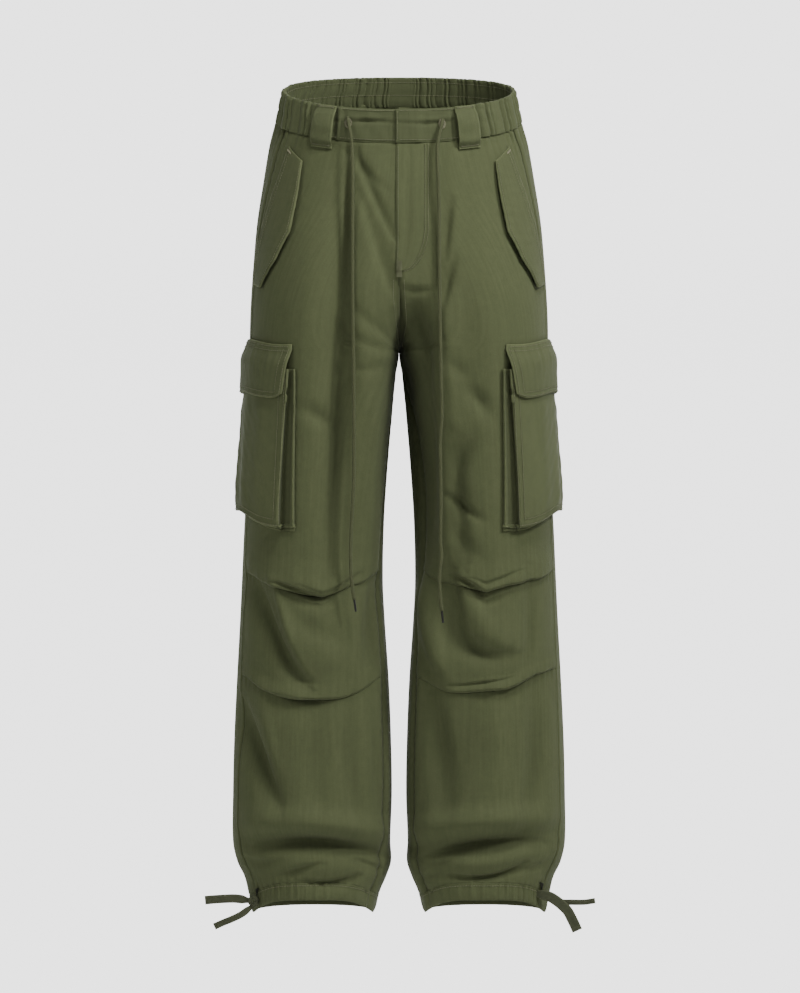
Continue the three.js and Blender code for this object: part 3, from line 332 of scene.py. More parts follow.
def waist(degrees, s, lift=0.0):
    """Points round the waist, by degrees from the centre front towards the wearer's left."""
    turn = (np.asarray(degrees, float) + 180) % 360 - 180
    angle = math.pi / 2 - np.radians(np.abs(turn))
    angle, s, turn = np.broadcast_arrays(angle, np.asarray(s, float), turn)
    at, out = np.empty(s.shape + (3,)), np.empty(s.shape + (3,))
    for side in (LEFT, RIGHT):
        here = (turn >= 0) == (side == LEFT)
        at[here], out[here] = cloth(side, angle[here], s[here])
    return at + out * np.asarray(lift, float)[..., None], out


def front_at(x, s, lift=0.0):
    """The front's outer face at x, between the waistband and the rise."""
    x, s = np.broadcast_arrays(np.asarray(x, float), np.asarray(s, float))
    centre, out, inn, depth, square = ring(np.ones(s.shape, bool), s)
    across = np.abs(x) - centre
    reach, power = np.where(across >= 0, out, inn), np.where(across >= 0, ROUND, square)
    forward = depth * np.maximum(1 - (np.abs(across) / reach) ** power, 0) ** (1 / power)
    angle = np.arctan2(forward, across)
    at, direction = np.empty(s.shape + (3,)), np.empty(s.shape + (3,))
    for side in (LEFT, RIGHT):
        here = (x >= 0) == (side == LEFT)
        at[here], direction[here] = cloth(side, angle[here], s[here])
    return at + direction * np.asarray(lift, float)[..., None], direction


def degrees_at(x, s):
    """Degrees round the waist of the front at x."""
    outer, _, front, _, _ = section(s)
    return np.degrees(np.arctan2(x, front * (1 - (np.abs(x) / outer) ** ROUND) ** (1 / ROUND)))


def seen_at(x, z):
    """Columns and heights of the places seen at (x, z) from the front."""
    x, z = np.asarray(x, float), np.asarray(z, float)
    low, high, s = np.zeros(x.shape), np.full(x.shape, float(FRONT_COLUMNS)), z.copy()
    for _ in range(40):
        v = (low + high) / 2
        at, _ = leg(LEFT, v, s)
        s = s + z - at[..., 2]
        low, high = np.where(at[..., 0] > x, v, low), np.where(at[..., 0] > x, high, v)
    return (low + high) / 2, s


# Making pieces
LIP = {"down": 1.9, "edge": 1.5, "ridge": 0.4, "beside": 4.5, "wide": 2.6}
WORN_REACH = 1.5


def spaced(start, end, step, close=0.7):
    """Values from start to end, closer together towards both."""
    n = max(2, round(abs(end - start) / step))
    t = np.linspace(0, 1, n + 1)
    return start + (end - start) * (t - close * np.sin(2 * math.pi * t) / (2 * math.pi))


def rough(along, seed=0.0):
    """A smooth uneven wave of distances in mm, between about -1 and 1."""
    return (0.5 * np.sin(along / 2.3 + seed) + 0.3 * np.sin(along / 3.9 + 2 * seed)
            + 0.2 * np.sin(along / 7.1 + seed))


def lip(away):
    """A seam's edge: turned down at the very edge, with a low ridge beside it."""
    return -LIP["down"] * hump(away, LIP["edge"]) + LIP["ridge"] * hump(away - LIP["beside"], LIP["wide"])


def finish_piece(obj, finish):
    bpy.context.scene.collection.objects.link(obj)
    obj.data.materials.append(finish)
    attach(obj, "root")


def mesh_piece(name, bm, finish, new=False):
    mesh = bpy.data.meshes.new(name + "_look")
    bm.to_mesh(mesh)
    bm.free()
    mesh.shade_smooth()
    obj = bpy.data.objects.new(name + "_look", mesh)
    finish_piece(obj, finish)
    if not new:
        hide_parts(name)
    return obj


def wear(at, us, ws, folds):
    """How worn each point is: most along the cloth's edges and its folds, given as (axis, value)."""
    grid = at.reshape(len(ws), len(us), 3)
    runs = []
    for axis in (1, 0):
        steps = np.linalg.norm(np.diff(grid, axis=axis), axis=-1)
        start = np.zeros_like(np.take(steps, [0], axis))
        runs.append(np.concatenate([start, np.cumsum(steps, axis)], axis))
    u_run, w_run = runs
    away = np.minimum(np.minimum(u_run, u_run[:, -1:] - u_run), np.minimum(w_run, w_run[-1:] - w_run))
    for axis, value in folds:
        if axis == "u":
            k = int(np.argmin(np.abs(us - value)))
            away = np.minimum(away, np.abs(u_run - u_run[:, k:k + 1]))
        else:
            k = int(np.argmin(np.abs(ws - value)))
            away = np.minimum(away, np.abs(w_run - w_run[k:k + 1]))
    return hump(away, WORN_REACH).ravel()


def cloth_piece(name, us, ws, place, thick, finish, new=False, scale=(1, 1), closed=False,
                folds=(), worn=1.0):
    """A grid of cloth whose points at (u, w) are moved by place, which also gives the directions out
    and may give how much shade to paint into each point's colour. It replaces the node of its name, unless
    it is new. scale turns u and w into mm of cloth. worn says how pale the worn edges are. The wear
    attribute gets the edge wear less the painted shade. A closed piece joins its last column to its first."""
    bm = bmesh.new()
    bm.loops.layers.uv.new("cloth")
    bmesh.ops.create_grid(bm, x_segments=len(us) - 1, y_segments=len(ws) - 1, size=1, calc_uvs=True)
    grid = np.array([v.co[:2] for v in bm.verts])
    column = np.rint((grid[:, 0] + 1) / 2 * (len(us) - 1)).astype(int)
    row = np.rint((grid[:, 1] + 1) / 2 * (len(ws) - 1)).astype(int)
    u, w = us[column], ws[row]
    at, out, *sunk = place(u, w)
    layer = bm.loops.layers.uv.active
    for face in bm.faces:
        for loop in face.loops:
            k = loop.vert.index
            loop[layer].uv = (u[k] * scale[0] * MM, w[k] * scale[1] * MM)
    order = np.lexsort((column, row))
    pale = np.zeros(len(at))
    if worn and not closed:
        pale[order] = worn * wear(at[order], us, ws, folds)
    # Painted shade: the third value that place may give is taken off the edge wear
    if sunk:
        pale = pale - sunk[0]
    # The wear attribute: real edge wear above zero, painted shade below zero
    wear_and_shade_layer = bm.verts.layers.float.new("wear")
    for vert, point, wear_and_shade in zip(bm.verts, at * MM, pale):
        vert.co = point
        vert[wear_and_shade_layer] = wear_and_shade
    bm.normal_update()
    bm.verts.ensure_lookup_table()
    agree = sum(float(np.dot(bm.verts[k].normal, out[k])) for k in range(0, len(bm.verts), 53))
    if agree < 0:
        bmesh.ops.reverse_faces(bm, faces=bm.faces)
    if closed:
        bmesh.ops.remove_doubles(bm, verts=bm.verts, dist=1e-6)
    obj = mesh_piece(name, bm, finish, new)
    wall = obj.modifiers.new("wall", "SOLIDIFY")
    wall.thickness = thick * MM
    wall.offset = -1
    return obj


def tube_piece(name, points, radius, finish, sides, ripple=0.0, flat=1.0):
    """A cord along points, with a braid's low ripple, or a flat one."""
    line = smooth_line(points, 1.6 if ripple else 2.5)
    along = np.gradient(line, axis=0)
    along /= np.linalg.norm(along, axis=1, keepdims=True)
    wide = np.cross(along, (0.0, 1.0, 0.0))
    wide /= np.linalg.norm(wide, axis=1, keepdims=True)
    deep = np.cross(wide, along)
    bm = bmesh.new()
    bm.loops.layers.uv.new("cloth")
    bmesh.ops.create_grid(bm, x_segments=sides, y_segments=len(line) - 1, size=1, calc_uvs=True)
    grid = np.array([v.co[:2] for v in bm.verts])
    turn = np.rint((grid[:, 0] + 1) / 2 * sides) / sides * 2 * math.pi
    row = np.rint((grid[:, 1] + 1) / 2 * (len(line) - 1)).astype(int)
    r = radius * (1 + ripple * np.sin(3 * turn + row * 0.9) * np.sin(3 * turn - row * 0.9))
    at = (line[row] + wide[row] * (r * np.cos(turn))[:, None]
          + deep[row] * (r * flat * np.sin(turn))[:, None])
    for vert, point in zip(bm.verts, at * MM):
        vert.co = point
    bmesh.ops.remove_doubles(bm, verts=bm.verts, dist=1e-6)
    bmesh.ops.holes_fill(bm, edges=bm.edges)
    bmesh.ops.recalc_face_normals(bm, faces=bm.faces)
    return mesh_piece(name, bm, finish), line


def smooth_line(points, step):
    """Points about a step apart on a smooth curve through the given ones."""
    p = np.array(points, float)
    ends = np.vstack([2 * p[0] - p[1], p, 2 * p[-1] - p[-2]])
    line = []
    for k in range(1, len(ends) - 2):
        a, b, c, d = ends[k - 1:k + 3]
        n = max(2, round(np.linalg.norm(c - b) / step))
        for t in np.arange(n) / n:
            line.append(0.5 * (2 * b + (c - a) * t + (2 * a - 5 * b + 4 * c - d) * t**2
                               + (3 * b - a - 3 * c + d) * t**3))
    return np.array(line + [p[-1]])


class Thread:
    """Stitches of one thread, kept as short splines of three points."""

    def __init__(self, name, finish, radius=0.4):
        self.name, self.finish, self.radius, self.stitches = name, finish, radius, []

    def row(self, at, out, pitch=3.6, length=2.5, lift=0.25, sunk=-0.2):
        """Stitches along a row of points, each with its ends sunk in the cloth."""
        steps = np.linalg.norm(np.diff(at, axis=0), axis=1)
        run = np.concatenate([[0], np.cumsum(steps)])
        starts = np.arange(pitch / 2, run[-1] - length, pitch)
        for start in starts:
            spots = [start, start + length / 2, start + length]
            point = np.stack([np.interp(spots, run, at[:, k]) for k in range(3)], -1)
            away = np.stack([np.interp(spots, run, out[:, k]) for k in range(3)], -1)
            self.stitches.append(point + away * np.array([[sunk], [lift], [sunk]]))

    def bar(self, at, out, across, count=9, wide=2.2):
        """A bar tack from the first to the last point: short stitches side by side."""
        for t in np.linspace(0, 1, count):
            middle = at[0] * (1 - t) + at[-1] * t
            ends = [middle - across * wide / 2, middle + out * 0.5, middle + across * wide / 2]
            self.stitches.append(np.array(ends))

    def piece(self):
        curve = bpy.data.curves.new(self.name, "CURVE")
        curve.dimensions = "3D"
        curve.bevel_depth = self.radius * MM
        curve.bevel_resolution = 0
        curve.use_fill_caps = True
        for stitch in self.stitches:
            spline = curve.splines.new("POLY")
            spline.points.add(2)
            for point, at in zip(spline.points, stitch * MM):
                point.co = (*at, 1)
        finish_piece(bpy.data.objects.new(self.name, curve), self.finish)


# Finishes
class Amount:
    """A number that varies over a surface. Python's operators on it add the Math nodes."""

    def __init__(self, finish, socket):
        self.finish, self.socket = finish, socket

    def _math(self, operation, first, second):
        return self.finish.add("ShaderNodeMath", {"operation": operation}, {0: first, 1: second})

    def __add__(self, other):
        return self._math("ADD", self, other)

    def __sub__(self, other):
        return self._math("SUBTRACT", self, other)

    def __rsub__(self, other):
        return self._math("SUBTRACT", other, self)

    def __mul__(self, other):
        return self._math("MULTIPLY", self, other)

    __radd__, __rmul__ = __add__, __mul__


class Finish:
    """One material, made with add(kind of node, its settings, its sockets)."""

    def __init__(self, name, **fixed):
        self.material = bpy.data.materials.new(name)
        self.material.use_nodes = True
        self.nodes, self.links = self.material.node_tree.nodes, self.material.node_tree.links
        self.shader = self.nodes["Principled BSDF"]
        for socket, value in fixed.items():
            self.shader.inputs[socket.replace("_", " ")].default_value = value

    def add(self, kind, settings=(), sockets=(), output=0):
        node = self.nodes.new(kind)
        for name, value in dict(settings).items():
            if name == "stops":
                ramp = node.color_ramp
                while len(ramp.elements) < len(value):
                    ramp.elements.new(0.5)
                for element, (position, colour) in zip(ramp.elements, value):
                    element.position, element.color = position, colour
            else:
                setattr(node, name, value)
        for name, value in dict(sockets).items():
            self.join(value, node.inputs[name])
        return Amount(self, node.outputs[output])

    def join(self, value, socket):
        if isinstance(value, Amount):
            self.links.new(value.socket, socket)
        else:
            socket.default_value = value

    def surface(self, name, value):
        self.join(value, self.shader.inputs[name])


def woven(name, dark, light, weave=0.0011, bump=0.35, roughness=0.88, twill=1.0):
    """Washed cotton: mottled, with a slanting weave from the piece's own map and a soft nap, paler where the
    wear attribute is above zero from worn edges, and darker with painted shade where it is below zero.
    """
    finish = Finish(name, Sheen_Weight=0.03, Sheen_Roughness=0.5, Specular_IOR_Level=0.12)
    place = finish.add("ShaderNodeTexCoord", output=3)
    cut = finish.add("ShaderNodeUVMap", {"uv_map": "cloth"})
    split = finish.add("ShaderNodeSeparateXYZ", {}, {0: cut})
    down = Amount(finish, split.socket.node.outputs[1])
    drawn = finish.add("ShaderNodeMapping", {}, {"Vector": cut, "Scale": (1, 0.05, 1)})
    patches = finish.add("ShaderNodeTexNoise", {}, {"Vector": place, "Scale": 7.0, "Detail": 2.0})
    mottle = finish.add("ShaderNodeTexNoise", {}, {"Vector": place, "Scale": 120.0, "Detail": 4.0})
    grain = finish.add("ShaderNodeTexNoise", {}, {"Vector": place, "Scale": 900.0, "Detail": 2.0})
    streak = finish.add("ShaderNodeTexNoise", {}, {"Vector": drawn, "Scale": 260.0, "Detail": 3.0})
    slant = (split + down * twill) * (2 * math.pi / weave)
    ridge = finish.add("ShaderNodeMath", {"operation": "SINE"}, {0: slant})
    across = (split - down) * (2 * math.pi / (weave * 1.7))
    yarn = finish.add("ShaderNodeMath", {"operation": "SINE"}, {0: across})
    relief = ridge * 0.5 + yarn * 0.25 + grain * 0.9
    shade = patches * 0.14 + mottle * 0.2 + grain * 0.3 + streak * 0.3 + ridge * 0.03
    colour = finish.add("ShaderNodeValToRGB", {"stops": [(0.22, dark), (0.74, light)]}, {0: shade})
    # The wear attribute holds real edge wear above zero and painted shade below zero: troughs, seams, under
    # knee rolls, gussets, the hem's inside and the front band
    worn = finish.add("ShaderNodeAttribute", {"attribute_name": "wear"}, output=2)
    pale, deep = (tuple(c * k for c in light[:3]) + (1,) for k in (1.4, 0.3))
    share = worn * (mottle * 1.0 + 0.05)
    colour = finish.add("ShaderNodeMix", {"data_type": "RGBA"}, {0: share, 6: colour, 7: pale}, 2)
    # Painted shade: where the attribute is below zero the colour darkens towards deep, a painted shade
    # colour
    colour = finish.add("ShaderNodeMix", {"data_type": "RGBA"}, {0: worn * -0.42, 6: colour, 7: deep}, 2)
    finish.surface("Base Color", colour)
    finish.surface("Roughness", mottle * 0.12 + (roughness - 0.06))
    rub = finish.add("ShaderNodeTexNoise", {}, {"Vector": place, "Scale": 140.0, "Detail": 5.0})
    height = relief * 0.4 + rub * 1.0
    bumps = finish.add("ShaderNodeBump", {}, {"Strength": bump, "Distance": 0.0006, "Height": height})
    finish.surface("Normal", bumps)
    return finish.material


OLIVE = woven("olive cotton twill", (0.051, 0.060, 0.027, 1), (0.089, 0.102, 0.048, 1))
OLIVE_BAND = woven("olive cotton band", (0.050, 0.059, 0.027, 1), (0.087, 0.100, 0.048, 1), twill=-1.0)
OLIVE_POCKET = woven("olive pocket twill", (0.052, 0.061, 0.028, 1), (0.091, 0.104, 0.049, 1), twill=0.8)
BRAID = woven("olive braided cord", (0.050, 0.057, 0.026, 1), (0.090, 0.099, 0.050, 1), 0.0016, 0.6)
TAPE = woven("dark olive tape", (0.036, 0.040, 0.022, 1), (0.070, 0.076, 0.044, 1), 0.0013, 0.5)
THREAD = woven("olive thread", (0.092, 0.099, 0.054, 1), (0.158, 0.166, 0.098, 1), 0.0006, roughness=0.7)
PALE_THREAD = woven("pale thread", (0.20, 0.19, 0.12, 1), (0.36, 0.34, 0.24, 1), 0.0006, roughness=0.7)
# A near black finish painted as the shadow inside the hem slits
SLIT_SHADOW = woven("painted slit shadow", (0.006, 0.007, 0.004, 1), (0.016, 0.017, 0.010, 1))


def moulded(name, colour):
    """Dark plastic, rubbed paler in places."""
    finish = Finish(name, Specular_IOR_Level=0.4)
    place = finish.add("ShaderNodeTexCoord", output=3)
    wear = finish.add("ShaderNodeTexNoise", {}, {"Vector": place, "Scale": 300.0, "Detail": 3.0})
    lit = tuple(min(1, c * 1.9) for c in colour[:3]) + (1,)
    rubbed = finish.add("ShaderNodeValToRGB", {"stops": [(0.35, colour), (0.7, lit)]}, {0: wear})
    finish.surface("Base Color", rubbed)
    finish.surface("Roughness", wear * 0.25 + 0.35)
    bumps = finish.add("ShaderNodeBump", {}, {"Strength": 0.3, "Distance": 0.0002, "Height": wear})
    finish.surface("Normal", bumps)
    return finish.material


TIP_FINISH = moulded("dark cord tip", (0.006, 0.006, 0.005, 1))

# Leg panels
COLUMN_FRONT, COLUMN_BACK = 16.0, 18.0  # mm of cloth from one column to the next
# Above a knee seam the cloth rolls over it, and below it is drawn in: how far, and how far up or down
KNEE_ROLL = {KNEE_TOP: (4.6, 45), KNEE_FOOT: (3.6, 25)}
ROLL = {"tucked": 0.8, "rough": 0.5, "pinch": 3.4, "pinch_reach": 4.5}
KNEE_DRAW = {KNEE_TOP: (1.5, 40), KNEE_FOOT: (1.5, 42)}
DRAW = {"rough": 0.7, "starts": 18, "full": 2}
HEM_DRAW = {"reach": 24, "down": 0.3, "edge": 1.2}
BAND_LIP = 0.45  # the edge under the waistband is turned down less
EDGE_ROUGH = {"size": 0.35, "reach": 7}
ALLOWANCE = -0.9  # how deep a panel's edge lies under the band and inside the casing
RISE_CROSS = -1.2  # how far the edges of the rise reach past the centre plane
# How much shade is painted into the cloth's colour beside the seams and under a roll, and over how many mm
# of depth the painted shade of a trough grows to full
SEAM_SHADE = {"most": 0.9, "reach": 1.7}
ROLL_SHADE = {"most": 0.5, "reach": 14}
TROUGH_SHADE = {"from": 1, "over": 15}
# Where a knee seam is caught in a deeper tuck: leg, seam, x of its middle, half width, depth
TUCKS = [
    (RIGHT, KNEE_TOP, 118, 24, 3.5), (LEFT, KNEE_TOP, 108, 26, 2.5),
    (RIGHT, KNEE_FOOT, 120, 30, 2.5), (LEFT, KNEE_FOOT, 130, 26, 2.5),
]
# How far a knee seam rises above an even curve: x from the centre plane, mm
SEAM_LINES = {
    (RIGHT, KNEE_TOP): [(20, 0), (36, 6), (60, 12), (80, 6), (96, 1), (126, 7), (150, 11), (168, 11),
                        (190, 3)],
    (LEFT, KNEE_TOP): [(20, 2), (40, 9), (62, 15), (79, 15), (98, 11), (109, 7), (119, 11), (140, 16),
                       (165, 17), (190, 6)],
    (RIGHT, KNEE_FOOT): [(20, 4), (60, 5), (127, 5), (160, 8), (195, 6)],
    (LEFT, KNEE_FOOT): [(20, 3), (34, 6), (95, 15), (135, 18), (158, 24), (172, 25), (195, 15)],
}
SEAM_LINE_REACH = 42


def bulge(v):
    """Full in the middle of the front and nothing at its two seams."""
    return np.sin(math.pi * np.clip(v / FRONT_COLUMNS, 0, 1)) ** 0.7


def tuck(side, seam, at):
    """How much deeper the tucks draw a knee seam."""
    total = np.zeros(at.shape[:-1])
    for its_leg, its_seam, x, half, depth in TUCKS:
        if its_leg == side and its_seam == seam:
            total += depth * hump(side * at[..., 0] - x, half)
    return total


# Where the gathered band begins and ends, how many gathers it has, and the flat place at its middle
BAND_SPLIT = {"right": -54, "left": 50}
GATHERS, FLAT_PATCH, FLAT_FADE, ENDS_FADE = 62, 7, 4, 6


def gather_wave(degrees, soft=0.6):
    """The elastic's gathers: rounded ridges with sharp creases between, uneven in width and depth."""
    first, last = BAND_SPLIT["left"], 360 + BAND_SPLIT["right"]
    n = (degrees - first) / (last - first) * GATHERS
    n = n + 0.28 * np.sin(n * 2.4) + 0.16 * np.sin(n * 0.9)
    ridge = np.abs(np.sin(math.pi * n)) ** soft
    size = 0.65 + 0.35 * np.sin(np.floor(n) * 1.7)
    plain = ease(FLAT_PATCH, FLAT_PATCH + FLAT_FADE, np.abs(degrees - 180))
    ends = ease(0, ENDS_FADE, np.minimum(degrees - first, last - degrees))
    return (ridge * 2 - 1.25) * size * plain * ends


def flutes(side, v, s):
    """Ripples that the gathered band leaves in the cloth below it, at the sides and the back."""
    turn = 90 - np.degrees(column_angle(v, s))
    degrees = np.where(side == LEFT, turn, 360 - turn)
    near = 2.3 * gather_wave(degrees, 0.8) * ease(-72, -20, s)
    far = 2.2 * np.sin(turn / 6.3 + 0.9 * side) * (0.6 + 0.4 * np.sin(turn / 13)) * ease(48, 60, turn)
    return near + far * ease(-130, -30, s)


def hem_pucker(v):
    """Uneven puckers that the tie leaves at the hem."""
    return np.sin(v * 6.3) * (0.6 + 0.4 * np.sin(v * 2.1)) + 0.4 * np.sin(v * 13 + 1)


def panel(side, ws, top, foot, front):
    """A leg panel. top and foot say what its upper and lower edges are: seam, roll, drawn or hem."""
    column = COLUMN_FRONT if front else COLUMN_BACK
    inner_end = FRONT_COLUMNS if front else -BACK_COLUMNS

    def place(v, s):
        at, out = leg(side, v, s)
        outer, inner = np.abs(v) * column, np.abs(v - inner_end) * column
        lift = flutes(side, v, s) + lip(outer) + lip(inner)
        lift = lift + EDGE_ROUGH["size"] * rough(s, side) * hump(outer, EDGE_ROUGH["reach"])
        lift = lift + EDGE_ROUGH["size"] * rough(s, 2) * hump(inner, EDGE_ROUGH["reach"])
        above = np.maximum(min(ws[0], BAND_FOOT) - s, 0)
        below = np.maximum(s - max(ws[-1], CASING_TOP), 0)
        for kind, away, edge in ((top, above, ws[0]), (foot, below, ws[-1])):
            seam = min((KNEE_TOP, KNEE_FOOT, BAND_FOOT, CASING_TOP), key=lambda k: abs(k - edge))
            if kind == "roll":
                size, reach = KNEE_ROLL[seam]
                size = size + ROLL["tucked"] * tuck(side, seam, at) + ROLL["rough"] * rough(v * column, seam)
                lift = lift + size * bulge(v) * ease(reach, 0, away)
                lift = lift - ROLL["pinch"] * bulge(v) * ease(ROLL["pinch_reach"], 0, away) ** 2
            elif kind == "drawn":
                size, reach = KNEE_DRAW[seam]
                lift = lift - (size + tuck(side, seam, at)) * bulge(v) * ease(reach, 0, away)
                near = ease(DRAW["starts"], DRAW["full"], away)
                lift = lift + DRAW["rough"] * rough(v * column, seam) * near
            elif kind == "hem":
                lift = lift + hem_pucker(v) * ease(HEM_DRAW["reach"], 0, away)
                lift = lift - HEM_DRAW["down"] * hump(away, HEM_DRAW["edge"])
            else:
                lift = lift + lip(away) * BAND_LIP
        lift = np.where((s > BAND_FOOT) | (s < CASING_TOP), ALLOWANCE, lift)
        at = at + out * lift[..., None]
        on_rise = (np.abs(v - inner_end) < 1e-6) & (s > CROTCH)
        at[..., 0] = side * np.where(on_rise, RISE_CROSS, np.maximum(side * at[..., 0], SEAM))
        if front:
            for seam in (KNEE_TOP, KNEE_FOOT):
                rise = np.interp(side * at[..., 0], *np.array(SEAM_LINES[side, seam]).T)
                at[..., 2] += rise * hump(s - seam, SEAM_LINE_REACH)
        folds = fold_height(side, FRONT if front else BACK, at[..., 0], at[..., 2])
        # Painted shade: darker colour under a knee roll, beside the seams and in the troughs of the folds
        shade = ROLL_SHADE["most"] * ease(ROLL_SHADE["reach"], 0, above) * bulge(v) * (top == "drawn")
        shade = shade + SEAM_SHADE["most"] * hump(np.minimum(outer, inner), SEAM_SHADE["reach"])
        trough = np.maximum(-folds - TROUGH_SHADE["from"], 0) / TROUGH_SHADE["over"]
        return at, out, np.clip(trough + shade, 0, 1)

    return place


# Name, upper and lower seam, what its edges are, and the step down its grid
FRONT_PANELS = [
    ("front_thigh", BAND_FOOT, KNEE_TOP, "seam", "roll", 2.5),
    ("front_knee", KNEE_TOP, KNEE_FOOT, "drawn", "roll", 2.2),
    ("front_shin", KNEE_FOOT, CASING_TOP, "drawn", "hem", 2.5),
]
UNDER_BAND, IN_CASING = np.array([5, 2.5, 0.4]), np.array([0.4, 2.5])  # a panel's rows past its edges
# The turned hem goes down outside, round its lower edge and up inside: drop from the seam, off the leg
CASING_PROFILE = np.array([
    (0, -0.1), (1.5, 0.1), (3.5, -0.2), (6, 0.2), (14, 0.7), (19, 0.5), (21.4, 0), (22, -0.7), (21.2, -1.6),
    (18, -1.9), (10, -1.9), (2, -1.8),
])


def leg_pieces(side, name):
    """The front panels, the back and the hem casing of one leg."""
    edge = 0.012  # the side seam's gap, in columns
    across = spaced(edge, FRONT_COLUMNS, 0.155)
    for part, high, low, top, foot, step in FRONT_PANELS:
        down = spaced(high - SEAM, low + SEAM, step, 0.6)
        if high == BAND_FOOT:
            down = np.concatenate([high + UNDER_BAND, down])
        if low == CASING_TOP:
            down = np.concatenate([down, low - IN_CASING])
        obj = cloth_piece(f"{part}_{name}", across, down, panel(side, down, top, foot, True), WALL, OLIVE,
                          scale=(COLUMN_FRONT, 1), worn=0)
    across = spaced(-BACK_COLUMNS, -edge, 0.2)
    down = spaced(BAND_FOOT - SEAM, CASING_TOP + SEAM, 3.4, 0.5)
    down = np.concatenate([BAND_FOOT + UNDER_BAND, down, CASING_TOP - IN_CASING])
    obj = cloth_piece(f"back_leg_{name}", across, down, panel(side, down, "seam", "hem", False), WALL, OLIVE,
                      scale=(COLUMN_BACK, 1), worn=0)

    around = np.linspace(-BACK_COLUMNS, FRONT_COLUMNS, 221)
    steps = np.arange(len(CASING_PROFILE), dtype=float)

    def casing(v, w):
        drop, off = (np.interp(w, steps, column) for column in CASING_PROFILE.T)
        angle = column_angle(v, np.full(v.shape, float(HEM)))
        at, out = cloth(side, angle, CASING_TOP - SEAM - drop)
        outside = off > -1
        lift = off + hem_pucker(v) * (1 - 0.5 * ease(8, 22, drop)) * outside
        # The casing's inside layer gets painted shade
        return at + out * lift[..., None], out, 0.8 * ease(-0.8, -1.6, off)

    obj = cloth_piece(f"hem_casing_{name}", around, steps, casing, 0.8, OLIVE, scale=(14, 4), closed=True)


for side, name in ((LEFT, "left"), (RIGHT, "right")):
    leg_pieces(side, name)

# Waistband
BAND_OUT, BAND_THICK, BAND_SHADE = 0.6, 2.5, 0.5
BAND_LAP = {"from": -4, "to": 20, "lifts": 22, "settles": 34}
# The drawcord's channel: a dent with a ridge above it, deepest beside the cords
CHANNEL = {"at": 3, "deep": 1.6, "wide": 2.2, "ridge_at": 8, "ridge": 0.6, "ridge_wide": 3, "sag": 1.5}
BAND_PULL = {"size": 1.6, "starts": 58, "full": 80}  # ripples where the front meets the gathers


def lap(x):
    """How far the left front stands off where it laps over the right."""
    return (BAND_THICK + 4 * SEAM) * (1 - ease(BAND_LAP["lifts"], BAND_LAP["settles"], x))


def band_front(name, ends, lapped):
    """Half of the front waistband, between the ends that are given as degrees at a height."""

    def place(u, s):
        start, end = ends(s)
        degrees = start + (end - start) * u
        x = waist(degrees, s)[0][..., 0]
        drawn = 0.5 + 1.5 * hump(np.abs(x) - 40, 22)
        sag = CHANNEL["sag"] * np.sin(x / 19)
        channel = (-CHANNEL["deep"] * drawn * hump(s - CHANNEL["at"] + sag, CHANNEL["wide"])
                   + CHANNEL["ridge"] * drawn * hump(s - CHANNEL["ridge_at"] + sag, CHANNEL["ridge_wide"]))
        edge = lip(BAND_TOP - s) * 0.8 + lip(s - BAND_FOOT) * 0.4
        pulled = BAND_PULL["size"] * ease(BAND_PULL["starts"], BAND_PULL["full"], np.abs(x))
        soft = 0.35 * rough(x * 0.6 + s * 0.4, 3) + 0.5 * np.sin(x / 17 + s / 31)
        soft = soft + pulled * np.sin(np.abs(x) / 1.9 + s / 23) * ease(BAND_FOOT - 14, BAND_FOOT + 12, s)
        at_fly = np.abs(x) < 12
        lift = BAND_OUT + lapped * lap(x) + channel + edge + soft * (1 - 0.6 * at_fly)
        # BAND_SHADE is painted shade, the same all over the front band
        return *waist(degrees, s, lift), np.full(s.shape, BAND_SHADE)

    rows = spaced(BAND_TOP, BAND_FOOT + SEAM, 1.1)
    obj = cloth_piece(name, np.linspace(0, 1, 90), rows, place, BAND_THICK - 0.3, OLIVE_BAND, scale=(90, 1),
                      worn=0.4)


RIGHT_END, LEFT_END = BAND_SPLIT["right"] + 0.1, BAND_SPLIT["left"] - 0.1
band_front("waistband_front_right", lambda s: (RIGHT_END, degrees_at(BAND_LAP["to"], s)), False)
band_front("waistband_front_left", lambda s: (degrees_at(BAND_LAP["from"], s), LEFT_END), True)

# The gathered back is one folded strip, up its outside, over the top and down its inside: height, off the
# leg. Its fold is row 8, and two rows of stitches hold it in.
BACK_PROFILE = np.array([
    (-20.8, 0.2), (-18, 0.9), (-12, 1.0), (-4, 0.8), (5, 1.0), (13, 0.7), (18, 0.8), (19.8, 0.1),
    (20.3, -1.4), (19.8, -2.7), (18, -3.6), (13, -3.6), (5, -4.0), (-4, -3.7), (-12, -4.0), (-18, -3.6),
    (-20.8, -2.8),
])
BACK_FOLD, BACK_STITCHED = 8, (13, -4)
GATHER_OUT, GATHER_INSIDE = 3.4, 1.7


def band_back(degrees, k):
    """Where the gathered band lies: degrees round the waist, and k along its profile."""
    steps = np.arange(len(BACK_PROFILE), dtype=float)
    s, off = (np.interp(k, steps, column) for column in BACK_PROFILE.T)
    inside = ease(BACK_FOLD - 0.5, BACK_FOLD + 0.6, k)
    wave = gather_wave(degrees + 0.5 * np.sin(s / 9))
    inner_wave = gather_wave(degrees * 1.07 + 0.7 * np.sin(s / 7) - 11, 0.75)
    held = 1 - sum(0.4 * hump(s - row, 1.8) for row in BACK_STITCHED)
    gathers = GATHER_OUT * wave * (1 - inside) + (0.3 * wave - GATHER_INSIDE * inner_wave) * inside
    lift = off + held * gathers
    at, out = waist(degrees, s + 0.7 * wave * ease(8, 20, s), BAND_OUT + lift)
    return at, out * np.where(k < BACK_FOLD, 1, -1)[..., None]


